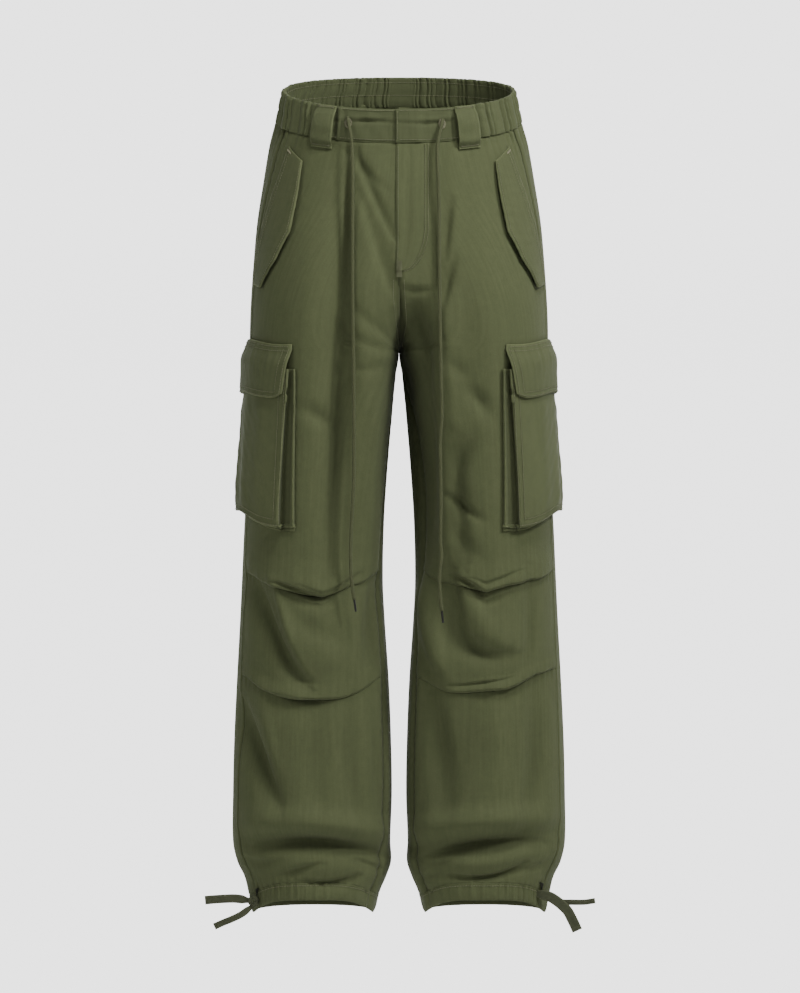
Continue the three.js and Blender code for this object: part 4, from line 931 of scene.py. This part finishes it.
around = np.linspace(BAND_SPLIT["left"] + 0.1, 360 + BAND_SPLIT["right"] - 0.1, 780)
band = cloth_piece("waistband_back", around, np.linspace(0, len(BACK_PROFILE) - 1, 49), band_back, 0.7,
                   OLIVE_BAND, scale=(2.2, 5.2), folds=[("w", BACK_FOLD)], worn=0.4)

# Fly: a strip with a rounded foot, raised at its free edge, which is at the middle
FLY = {"from": -4, "top": -21.2, "bend": -150, "foot": -219, "wide": 38, "narrow": 7, "stand": 2.2}
FLY_CLOTH = 40  # mm of cloth across


def fly_reach(s):
    """x of the placket's curved outer edge at heights s."""
    bend = np.clip((s - FLY["bend"]) / (FLY["foot"] - FLY["bend"]), 0, 1)
    return FLY["narrow"] + (FLY["wide"] - FLY["narrow"]) * np.sqrt(np.maximum(1 - bend**2, 0))


def fly(t, s):
    """Where the placket lies: t goes across it, from the middle to its curved edge."""
    x = FLY["from"] + (fly_reach(s) - FLY["from"]) * t
    lift = FLY["stand"] - (FLY["stand"] - 0.1) * ease(0.45, 0.97, t)
    lift = lift + 0.25 * rough(s, 1) * ease(0.4, 0, t) + 0.5 * np.sin(s / 23) * (1 - t)
    return front_at(x, s, lift - 1.2 * hump(t * FLY_CLOTH, 1.6))


obj = cloth_piece("fly_placket", np.linspace(0, 1, 34), spaced(FLY["top"], FLY["foot"], 2.4, 0.4), fly, 1.1,
                  OLIVE, scale=(FLY_CLOTH, 1), worn=0)

# Belt loops: degrees round the waist, and how far a loop stands off the band at least
LOOPS = [
    ("belt_loop_front_right", -49.5, 1.1), ("belt_loop_front_left", 45.5, 1.1),
    ("belt_loop_side_left", 128, 2.8), ("belt_loop_back", 180, 1.1), ("belt_loop_side_right", 232, 2.8),
]
LOOP_WIDTH, LOOP_LENGTH, LOOP_THICK = 28, 58, 1.9
# A loop's line from the band's top to its foot: height, off the cloth
LOOP_ROWS = np.array([
    (20, 0), (18.5, 0.8), (15, 1.8), (8, 6.4), (-2, 8.2), (-14, 8), (-23, 6.2), (-29, 1.2), (-32, 0.6),
])


def curved(rows, step):
    """Two columns of rows on a smooth curve through them."""
    return smooth_line(np.column_stack([rows, np.zeros(len(rows))]), step)[:, :2]


def along_curve(line, k):
    """The values of a curve's columns at k, from 0 at its start to 1 at its end."""
    run = np.linspace(0, 1, len(line))
    return [np.interp(k, run, column) for column in line.T]


def loop_place(at, seat):
    """Where a belt loop lies: t goes across it and k down it."""

    def place(t, k):
        s, off = along_curve(curved(LOOP_ROWS, 0.5), k)
        off = np.where(s > BAND_FOOT, np.maximum(off, seat + np.minimum(off, 0.3)), off)
        here, there = waist(np.array([at, at + 1.0]), np.zeros(2))[0]
        half = LOOP_WIDTH / 2 / np.linalg.norm(there - here)
        edge = np.minimum(t, 1 - t) * LOOP_WIDTH
        lift = 2.2 - 1.1 * hump(edge, 1.5) - 0.35 * hump(edge - 4, 1.3)
        lift = lift + 0.55 * np.sin(k * 15 + at) * ease(0, 6, edge)
        return waist(at + (2 * t - 1) * half, s, off + lift)

    return place


for name, at, seat in LOOPS:
    obj = cloth_piece(name, np.linspace(0, 1, 25), np.linspace(0, 1, 60), loop_place(at, seat), LOOP_THICK,
                      OLIVE_BAND, scale=(LOOP_WIDTH, LOOP_LENGTH))

# Hip pocket flaps, as seen from the front: x and z of the sewn edge, x and z of the free edge, and how far
# the free edge stands off
HIP_FLAP = np.array([
    (138, -57, 119.5, -77.5, 2.4), (149, -88, 120.5, -93, 5), (158, -112, 123.5, -118, 6),
    (167, -140, 128.5, -145, 6.4), (174, -164, 133, -168, 6.4), (181, -196, 151, -203, 6),
    (184, -230, 171, -237, 4),
])
HIP_FLAP_WIDE, HIP_FLAP_LONG = 38, 190
SEWN = np.stack([*seen_at(HIP_FLAP[:, 0], HIP_FLAP[:, 1]), HIP_FLAP[:, 4]], -1)
FREE = np.stack([*seen_at(HIP_FLAP[:, 2], HIP_FLAP[:, 3]), HIP_FLAP[:, 4]], -1)


def hip_flap(side):
    """Where a hip flap lies: t goes from its sewn edge to its free edge and k down it."""

    def place(t, k):
        v, s, stand = (a * (1 - t) + b * t for a, b in zip(along_curve(SEWN, k), along_curve(FREE, k)))
        lift = LAY + 2 + (stand - LAY) * t**1.5 - 1.5 * hump((1 - t) * HIP_FLAP_WIDE, 1.8)
        lift = lift + 0.3 * rough(s, side) * t - 1.2 * hump(t * HIP_FLAP_WIDE, 2)
        return leg(side, v, s, lift)

    return place


for side, name in ((LEFT, "left"), (RIGHT, "right")):
    obj = cloth_piece(f"hip_flap_{name}", np.linspace(0, 1, 24), np.linspace(0, 1, 90), hip_flap(side), 1.8,
                      OLIVE_POCKET, scale=(HIP_FLAP_WIDE, HIP_FLAP_LONG))

# Thigh pockets and their flaps. Across, places are columns round the leg, and a pocket droops to the front.
POCKET = {
    "front": 6.85, "back": -8.3, "gap_top": 0.45, "gap_foot": 1.15, "flange_back": 0.4, "tuck": 0.13,
    "rim": 6.2, "top": -331, "foot": -518, "flange_drop": 3, "tuck_rise": 3, "stand_top": 8.5,
    "stand_foot": 13, "droop": 10,
}
POCKET_COLUMN = 13  # mm of cloth from one column to the next
UNDER_FLAP = -368, -390  # the face is flat above the first and full below the second
CARGO_FLAP = {"front": 6.55, "back": -8.6, "slant": 0.55, "wide": 195, "long": 72, "corner": 14, "round": 6}
CARGO_ROWS = np.array([(-300, 0.8), (-311, 4.5), (-324, 9.4), (-345, 10.6), (-368, 11.6)])

# A pocket's section across: column, how far off the leg, and the steps to the next point. FACE stands for
# the distance that pocket_stand gives.
POCKET_SEWN, POCKET_FOLD, FACE = LAY + 1.2, LAY + 1.4, -1
ACROSS = [
    (POCKET["back"] - POCKET["flange_back"], POCKET_SEWN, 2), (POCKET["back"] - 0.3, POCKET["rim"], 3),
    (POCKET["back"] - 0.05, POCKET_FOLD, 2), (POCKET["back"] + POCKET["tuck"], POCKET_FOLD, 7),
    (POCKET["back"], FACE, 76), (POCKET["front"], FACE, 7),
    (POCKET["front"] - POCKET["tuck"], POCKET_FOLD, 3), (POCKET["front"] + 0.62, POCKET_FOLD, 4),
    (POCKET["front"] + 0.92, POCKET["rim"], 2), (POCKET["front"] + 1, POCKET_SEWN, 0),
]
FIRST_FACE = 4
# Its section down: height, off the leg, or FACE where the section across says it, and steps
DOWN = [
    (POCKET["top"], FACE, 74), (POCKET["foot"], FACE, 7),
    (POCKET["foot"] + POCKET["tuck_rise"], POCKET_FOLD, 5),
    (POCKET["foot"] - POCKET["flange_drop"], POCKET_SEWN, 0),
]


def droop(v):
    """How much lower a pocket hangs towards the front."""
    return POCKET["droop"] * ease(0, POCKET["front"], v)


def pocket_stand(s):
    """How far a pocket's face stands off the leg at heights s."""
    down = np.clip((s - POCKET["top"]) / (POCKET["foot"] - POCKET["top"]), 0, 1)
    return POCKET["stand_top"] + (POCKET["stand_foot"] - POCKET["stand_top"]) * down


def knots(points):
    """The grid's places along a section's points: 1.5 is halfway from point 1 to point 2."""
    steps = [k + np.arange(n) / n for k, (_, _, n) in enumerate(points[:-1])]
    return np.concatenate(steps + [[len(points) - 1.0]])


def pocket(side):
    """Where a pocket lies: a goes along the section across and b along the section down."""
    columns, offs, _ = np.array(ACROSS).T
    heights, foot_offs, _ = np.array(DOWN).T

    def place(a, b):
        v, s = np.interp(a, range(len(ACROSS)), columns), np.interp(b, range(len(DOWN)), heights)
        beyond = np.maximum(v - POCKET["front"], 0)
        gap = np.interp(s, [POCKET["foot"], POCKET["top"]], [POCKET["gap_foot"], POCKET["gap_top"]])
        on_front = ease(FIRST_FACE, FIRST_FACE + 1, a)
        v = v + beyond * (gap - 1) - 0.2 * ease(POCKET["top"], POCKET["foot"], s) * on_front
        stand = pocket_stand(s)

        def off(i, j):
            flat = np.where(foot_offs[j] > 0, foot_offs[j], offs[i])
            return np.where(flat < 0, stand, flat)

        i = np.clip(np.floor(a).astype(int), 0, len(ACROSS) - 2)
        j = np.clip(np.floor(b).astype(int), 0, len(DOWN) - 2)
        fa, fb = a - i, b - j
        height = ((off(i, j) * (1 - fa) + off(i + 1, j) * fa) * (1 - fb)
                  + (off(i, j + 1) * (1 - fa) + off(i + 1, j + 1) * fa) * fb)
        past = a - FIRST_FACE
        on_face = (past >= 0) & (past <= 1) & (b <= 1)
        from_side = np.minimum(past, 1 - past) * (POCKET["front"] - POCKET["back"]) * POCKET_COLUMN
        edge = np.minimum(from_side, (1 - b) * (POCKET["top"] - POCKET["foot"]))
        soft = 1.5 * np.sin(v * 1.9 + s / 75 + side) * (0.6 + 0.4 * np.sin(s / 47 + v * 0.5))
        soft = soft + 0.4 * rough(s * 0.7 + v * 9, side)
        crown = 1.6 * ease(2, 40, edge) - 1.1 * hump(edge, 2.4) - 0.5 * hump(edge - 6, 1.6)
        crown = crown + soft * ease(0, 20, edge)
        crown = np.where(crown > 0, crown * ease(*UNDER_FLAP, s), crown)
        gusset = ((past > -1) & (past < 0)) | ((past > 1) & (past < 2))
        height = height + np.where(on_face, crown, 0) + np.where(gusset, 0.1 * rough(s, 4), 0)
        # Painted shade in the gussets and the recess between the pocket's face and its flange
        inside = ((past > -2.2) & (past < -0.1)) | ((past > 1.1) & (past < 3.2))
        return *leg(side, v, s - droop(v), height), 0.8 * inside

    return place


def cargo_flap(side):
    """Where a cargo flap lies: t goes across it and k down it."""
    line = curved(CARGO_ROWS, 2)

    def place(t, k):
        s, off = along_curve(line, k)
        front = CARGO_FLAP["front"] + CARGO_FLAP["slant"] * (1 - k) ** 1.3
        v = CARGO_FLAP["back"] + (front - CARGO_FLAP["back"]) * t
        from_side, from_foot = np.minimum(t, 1 - t) * CARGO_FLAP["wide"], (1 - k) * CARGO_FLAP["long"]
        corner = np.clip(1 - np.hypot(from_side, from_foot) / CARGO_FLAP["corner"], 0, 1)
        edge = np.minimum(from_side, from_foot)
        lift = off + 2 - 1.4 * hump(edge, 1.8) - 0.5 * hump(edge - 6, 1.5)
        lift = lift + 0.7 * np.sin(v * 1.1 + 2 * side) * k + 0.3 * rough(v * 14 + s * 0.5, side) * k
        lift = lift + 0.6 * rough(v * 17, 3 + side) * hump(k - 0.25, 0.3)
        return leg(side, v, s - droop(v) + CARGO_FLAP["round"] * corner**2, lift)

    return place


for side, name in ((LEFT, "left"), (RIGHT, "right")):
    obj = cloth_piece(f"cargo_pocket_{name}", knots(ACROSS), knots(DOWN), pocket(side), WALL, OLIVE_POCKET,
                      scale=(60, 70), folds=[("u", 4), ("u", 5), ("w", 1), ("u", 1), ("u", 8)])
    obj = cloth_piece(f"cargo_flap_{name}", spaced(0, 1, 0.011, 0.6), spaced(0, 1, 0.03, 0.6),
                      cargo_flap(side), 1.8, OLIVE_POCKET, scale=(CARGO_FLAP["wide"], CARGO_FLAP["long"]))

# Drawcords, each from its buttonhole down the front to its tip
CORD_RADIUS, CORD_RIPPLE, CORD_SIDES = 2.3, 0.09, 12
CORDS = {
    "right": [
        (-64.5, -90.3, -24), (-63.4, -93.6, -31), (-61.4, -97.4, -42), (-59.2, -102, -57),
        (-58, -110, -91), (-57.8, -117.5, -130), (-57.8, -122.5, -178), (-57.7, -125.5, -242),
        (-57.2, -125.5, -290), (-56.6, -124.5, -335), (-56.3, -122, -380), (-56.1, -118.5, -420),
        (-56.2, -115.5, -470), (-57.6, -113.5, -505), (-59.4, -111.5, -535), (-60.4, -109.5, -567),
        (-60, -107.5, -595), (-58, -106, -615), (-56, -105, -629),
    ],
    "left": [
        (55, -92.9, -27), (53.2, -96.4, -36), (50.2, -100.6, -48), (48.2, -105.6, -66), (49, -113.5, -100),
        (50, -119.5, -140), (50.1, -123.5, -180), (50.6, -126, -242), (51.4, -126, -300),
        (52.4, -124.5, -350), (53.4, -122.5, -397), (51.4, -120.5, -430), (51.8, -118.5, -464),
        (52.5, -116, -509), (51.9, -113, -553), (53, -111.5, -575), (50.6, -110, -598),
        (51.3, -108.5, -620), (53.6, -107, -643),
    ],
}
TIP_ALONG, TIP_RADIUS, TIP_SIDES = (0.2, 4, 9, 15), 1.3, 14
for name, points in CORDS.items():
    cord, line = tube_piece(f"drawcord_{name}", points, CORD_RADIUS, BRAID, CORD_SIDES, CORD_RIPPLE)
    ahead = line[-1] - line[-2]
    ahead /= np.linalg.norm(ahead)
    tip_line = [line[-1] + ahead * t for t in TIP_ALONG]
    tip, _ = tube_piece(f"cord_tip_{name}", tip_line, TIP_RADIUS, TIP_FINISH, TIP_SIDES)

# Ties at the hems, flat tapes: width, and the middle line of each
TIES = {
    "hem_tie_upper_right": (11, [
        (-192.4, -43.3, -1012), (-206, -43, -1010), (-220, -44, -1010), (-234, -43, -1011),
        (-246, -42, -1012),
    ]),
    "hem_tie_lower_right": (8.4, [
        (-188.2, -43.4, -1021), (-199, -47, -1029), (-211, -48, -1035), (-223, -47, -1040),
        (-234, -46, -1045),
    ]),
    "hem_tie_front_left": (13, [
        (177.4, -45.2, -1004), (193, -49, -1008), (211, -50, -1022), (219, -49, -1035), (226, -47, -1050),
    ]),
    "hem_tie_back_left": (7, [
        (180.3, -40, -1008), (203, -40, -1014), (220, -39, -1015), (236, -38, -1015), (249, -38, -1013),
    ]),
}
TIE = {"thick": 1.3, "step": 1.2, "starts_before": 0.2, "narrows": 0.4, "narrow_rows": 9, "turned_rows": 6}
FORWARD = np.array([0.0, -1.0, 0.0])


def tape_piece(name, width, points):
    """A tape that starts inside its casing, with its end turned over."""
    inside = points[0] + TIE["starts_before"] * (points[0] - points[1])
    line = smooth_line([inside, *points[1:]], TIE["step"])
    along = np.gradient(line, axis=0)
    wide = np.stack([-along[:, 2], np.zeros(len(line)), along[:, 0]], -1)
    wide /= np.linalg.norm(wide, axis=1, keepdims=True)
    turned = len(line) - TIE["turned_rows"]

    def place(t, k):
        k = k.astype(int)
        half = width / 2 * (t * 2 - 1) * (1 - TIE["narrows"] * ease(TIE["narrow_rows"], 0, k))
        edge = np.minimum(t, 1 - t) * width
        lift = 0.75 - 0.5 * hump(edge, 0.6) + 0.25 * np.sin(edge * 2.6) + 0.7 * (k > turned)
        curl = 0.5 * np.sin(k / 7.0) * (t - 0.5)
        at = line[k] + wide[k] * half[:, None] + FORWARD * (lift + curl)[:, None]
        return at, np.tile(FORWARD, (len(t), 1))

    rows = np.arange(len(line), dtype=float)
    obj = cloth_piece(name, np.linspace(0, 1, 15), rows, place, TIE["thick"], TAPE,
                      scale=(width, TIE["step"]))


for name, (width, points) in TIES.items():
    tape_piece(name, width, np.array(points, float))

# The right hem's knot: a tape wound over itself and drawn tight
KNOT = {"middle": (-184.6, -42.8, -1013), "half": (4.5, 2.7, 5.1), "turns": 2.15, "radius": 2.4, "flat": 0.8}
turn = np.linspace(0, 2 * math.pi * KNOT["turns"], 60)
winding = np.stack([np.cos(turn), -np.sin(turn * 1.5), np.sin(turn)], -1) * KNOT["half"]
tube_piece("hem_knot_right", winding + KNOT["middle"], KNOT["radius"], TAPE, 12, flat=KNOT["flat"])

# The slits that the ties come out of, each drawn as a dark sheet of painted shadow: column and height of the
# corner, width in columns and height
SLITS = {"right": (RIGHT, 0.15, -1006.5, 0.75, 9), "left": (LEFT, 0.25, -999.5, 0.9, 9)}


def slit(side, v0, s0, wide, high):
    """A pointed slit's painted shadow, a dark sheet on the cloth: t goes across it and k down it."""

    def place(t, k):
        return leg(side, v0 + wide * t, s0 - high * k * (1 - 0.8 * t), 1.7)

    return place


for name, sizes in SLITS.items():
    cloth_piece(f"hem_slit_{name}", np.linspace(0, 1, 9), np.linspace(0, 1, 9), slit(*sizes), 0.3, SLIT_SHADOW,
                new=True, worn=0)


# Stitching. Each row runs through places given by columns and heights, or by degrees round the waist
def even(count, *values):
    """As many even steps along each value: a pair goes from its first to its second, a number stays."""
    return [np.linspace(*v, count) if isinstance(v, tuple) else np.full(count, float(v)) for v in values]


def through(corners, counts):
    """Places along straight lines from corner to corner."""
    parts = [even(n, *zip(a, b)) for a, b, n in zip(corners, corners[1:], counts)]
    return [np.concatenate(values) for values in zip(*parts)]


def on(place, count, t, k, above=0.25):
    """Points of a row on a placed piece, a little above it."""
    at, out = place(*even(count, t, k))
    return at + out * above, out


BESIDE_RISE = 0.2  # columns from the rise's edge to its stitches
POCKET_ROWS = (2.2, 0.2), (8, 0.55)  # inset from the pocket's edge, height above its face
FLAP_ROWS = 2.4, 8
for side, name in ((LEFT, "left"), (RIGHT, "right")):
    thread = Thread(f"leg_stitches_{name}", THREAD)
    thread.row(*leg(side, *even(90, FRONT_COLUMNS - BESIDE_RISE, (-228, CROTCH + 4)), 0.5))
    thread.row(*leg(side, *even(260, -BACK_COLUMNS + BESIDE_RISE, (BAND_FOOT - 4, CROTCH + 4)), 0.5))
    vs, hem, ss = even(420, (-BACK_COLUMNS, FRONT_COLUMNS), HEM, CASING_TOP - 3.5)
    at, out = cloth(side, column_angle(vs, hem), ss)
    thread.row(at + out * (hem_pucker(vs) + 0.1)[:, None], out)
    thread.piece()

    thread = Thread(f"pocket_stitches_{name}", THREAD)
    for inset, above in POCKET_ROWS:
        low, high = POCKET["back"] + inset / POCKET_COLUMN, POCKET["front"] - inset / POCKET_COLUMN
        top, foot = POCKET["top"], POCKET["foot"] + inset
        vs, ss = through([(low, top), (low, foot), (high, foot), (high, top)], (120, 120, 120))
        thread.row(*leg(side, vs, ss - droop(vs), pocket_stand(ss) + above))
    place = cargo_flap(side)
    for inset in FLAP_ROWS:
        a, b = inset / CARGO_FLAP["wide"], 1 - inset / CARGO_FLAP["long"]
        ts, ks = through([(a, 0.08), (a, b), (1 - a, b), (1 - a, 0.08)], (50, 180, 50))
        at, out = place(ts, ks)
        thread.row(at + out * 0.25, out)
    for k in (0.05, 0.13):
        thread.row(*on(place, 200, (0.01, 0.99), k))
    for t in (0.93, 0.06, 0.2):
        thread.row(*on(hip_flap(side), 120, t, (0.02, 0.98)))
    thread.piece()

thread = Thread("waist_stitches", THREAD)
for s in (17.4, -17.6):
    for first, last, lapped in ((BAND_SPLIT["right"] + 1, 9, False), (0, BAND_SPLIT["left"] - 1, True)):
        degrees = np.linspace(first, last, 150)
        x = waist(degrees, s)[0][..., 0]
        thread.row(*waist(degrees, s, BAND_OUT + 0.8 + lapped * lap(x)))
for k in (11, 13):
    at, out = on(band_back, 1400, (BAND_SPLIT["left"] + 2, 358 + BAND_SPLIT["right"]), k, 0.2)
    thread.row(at, out, 3.2, 2.2)
ss = np.linspace(BAND_TOP - 2, BAND_FOOT + 2, 30)
thread.row(*waist(degrees_at(BAND_LAP["from"] + 2.2, ss), ss, BAND_OUT + 3.7))
thread.row(*fly(*even(160, 0.07, (FLY["top"] - 2, FLY["foot"] + 2))))
for inset, above in ((1.5, 0.6), (5.5, 0.95)):
    ss = FLY["top"] - (FLY["top"] - FLY["foot"]) * np.linspace(0, 1, 240) ** 0.8
    thread.row(*front_at(fly_reach(ss) - inset, ss, above))

# Bar tacks at the fly's foot and at both ends of each belt loop
SIDEWAYS, UPWARDS = np.array([1.0, 0, 0]), np.array([0, 0, 1.0])
at, out = front_at(*even(2, 0.5, (-205, -226)), 2.3)
thread.bar(at, out[0], SIDEWAYS, 15, 7)
for name, at, seat in LOOPS:
    for k in (0.05, 0.93):
        points, out = on(loop_place(at, seat), 8, (0.12, 0.88), k, 0.3)
        thread.bar(points, out[4], UPWARDS, 22, 2.6)
thread.piece()

# Pale thread: the cords' worked buttonholes and the bar tacks at the hip flaps
pale = Thread("buttonholes", PALE_THREAD, 0.3)
HOLE_HEIGHT, HOLE_STITCHES = 0.4, 26
HOLE_RINGS = (1.2, 4.2, 1.5), (1.75, 5.1, 2.4), (2.3, 6.0, 1.5)  # half width in degrees, half height, lift
for points in CORDS.values():
    x, y, _ = points[0]
    middle = math.degrees(math.atan2(x, -y))
    for turn in np.linspace(0, 2 * math.pi, HOLE_STITCHES + 1)[:-1]:
        wide, high, lift = np.array(HOLE_RINGS).T
        spots, _ = waist(middle + wide * math.cos(turn), HOLE_HEIGHT + high * math.sin(turn), lift)
        pale.stitches.append(spots)
for side in (LEFT, RIGHT):
    at, out = on(hip_flap(side), 2, (0.08, 0.3), 0.02, 0.6)
    pale.bar(at, out[0], UPWARDS, 9, 2.6)
pale.piece()

# Floor, backdrop, light and air. The backdrop's foot is a shallow ramp, far behind the garment.
FLOOR = float(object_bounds()[0][2]) - 0.5
FLOOR_HALF, FLOOR_DROP = 25, 0.002
BACKDROP = {"half": 5.6, "near": 1.8, "deep": 4.7, "ramp": 1.55, "wall": 7.8}
stage = bmesh.new()
bmesh.ops.create_grid(stage, x_segments=1, y_segments=1, size=FLOOR_HALF)
for v in stage.verts:
    v.co.z = FLOOR - FLOOR_DROP
backdrop = bmesh.ops.create_grid(stage, x_segments=1, y_segments=40, size=1)
for v in backdrop["verts"]:
    out, up = min(v.co.y + 1, 1), max(v.co.y, 0)
    v.co = (v.co.x * BACKDROP["half"], BACKDROP["near"] + BACKDROP["deep"] * out,
            FLOOR + BACKDROP["ramp"] * out**2 + BACKDROP["wall"] * up)
floor_mesh = bpy.data.meshes.new("floor")
stage.to_mesh(floor_mesh)
stage.free()
floor_mesh.shade_smooth()
floor = bpy.data.objects.new("floor", floor_mesh)
bpy.context.scene.collection.objects.link(floor)
# The backdrop glows evenly from a little above the floor up, and takes less of the lamps' light there
pale_floor = Finish("pale floor", Roughness=0.95, Specular_IOR_Level=0.1, Emission_Strength=2.65)
place = pale_floor.add("ShaderNodeTexCoord", output=3)
height = pale_floor.add("ShaderNodeSeparateXYZ", {}, {0: place}, 2)
wall_light = pale_floor.add("ShaderNodeMapRange", {}, {0: height, 1: FLOOR + 0.005, 2: FLOOR + 0.03})
grey = wall_light * -0.66 + 0.86
for socket, tone in (("Emission Color", wall_light), ("Base Color", grey)):
    pale_floor.surface(socket, pale_floor.add("ShaderNodeCombineColor", {}, {0: tone, 1: tone, 2: tone}))
floor_mesh.materials.append(pale_floor.material)


def light(name, place, aim, size, power):
    """A round soft lamp at a place, aimed at a point."""
    data = bpy.data.lights.new(name, "AREA")
    data.shape, data.size, data.energy = "DISK", size, power
    obj = bpy.data.objects.new(name, data)
    obj.location = place
    across, away, up = np.array(aim) - np.array(place)
    obj.rotation_euler = (math.atan2(math.hypot(across, away), -up), 0, math.atan2(-across, away))
    bpy.context.scene.collection.objects.link(obj)


light("key", (2.3, -1.7, 1.6), (0, 0, -0.2), 0.8, 112)
light("fill", (-2.6, -2.2, 0.5), (0, 0, -0.4), 1.4, 36)
light("top", (0.5, -1.4, 1.9), (0, 0.1, 0), 0.6, 44)
world = bpy.data.worlds.new("air")
world.use_nodes = True
background = world.node_tree.nodes["Background"]
background.inputs["Color"].default_value = (1, 1, 1, 1)
background.inputs["Strength"].default_value = 0.17
bpy.context.scene.world = world
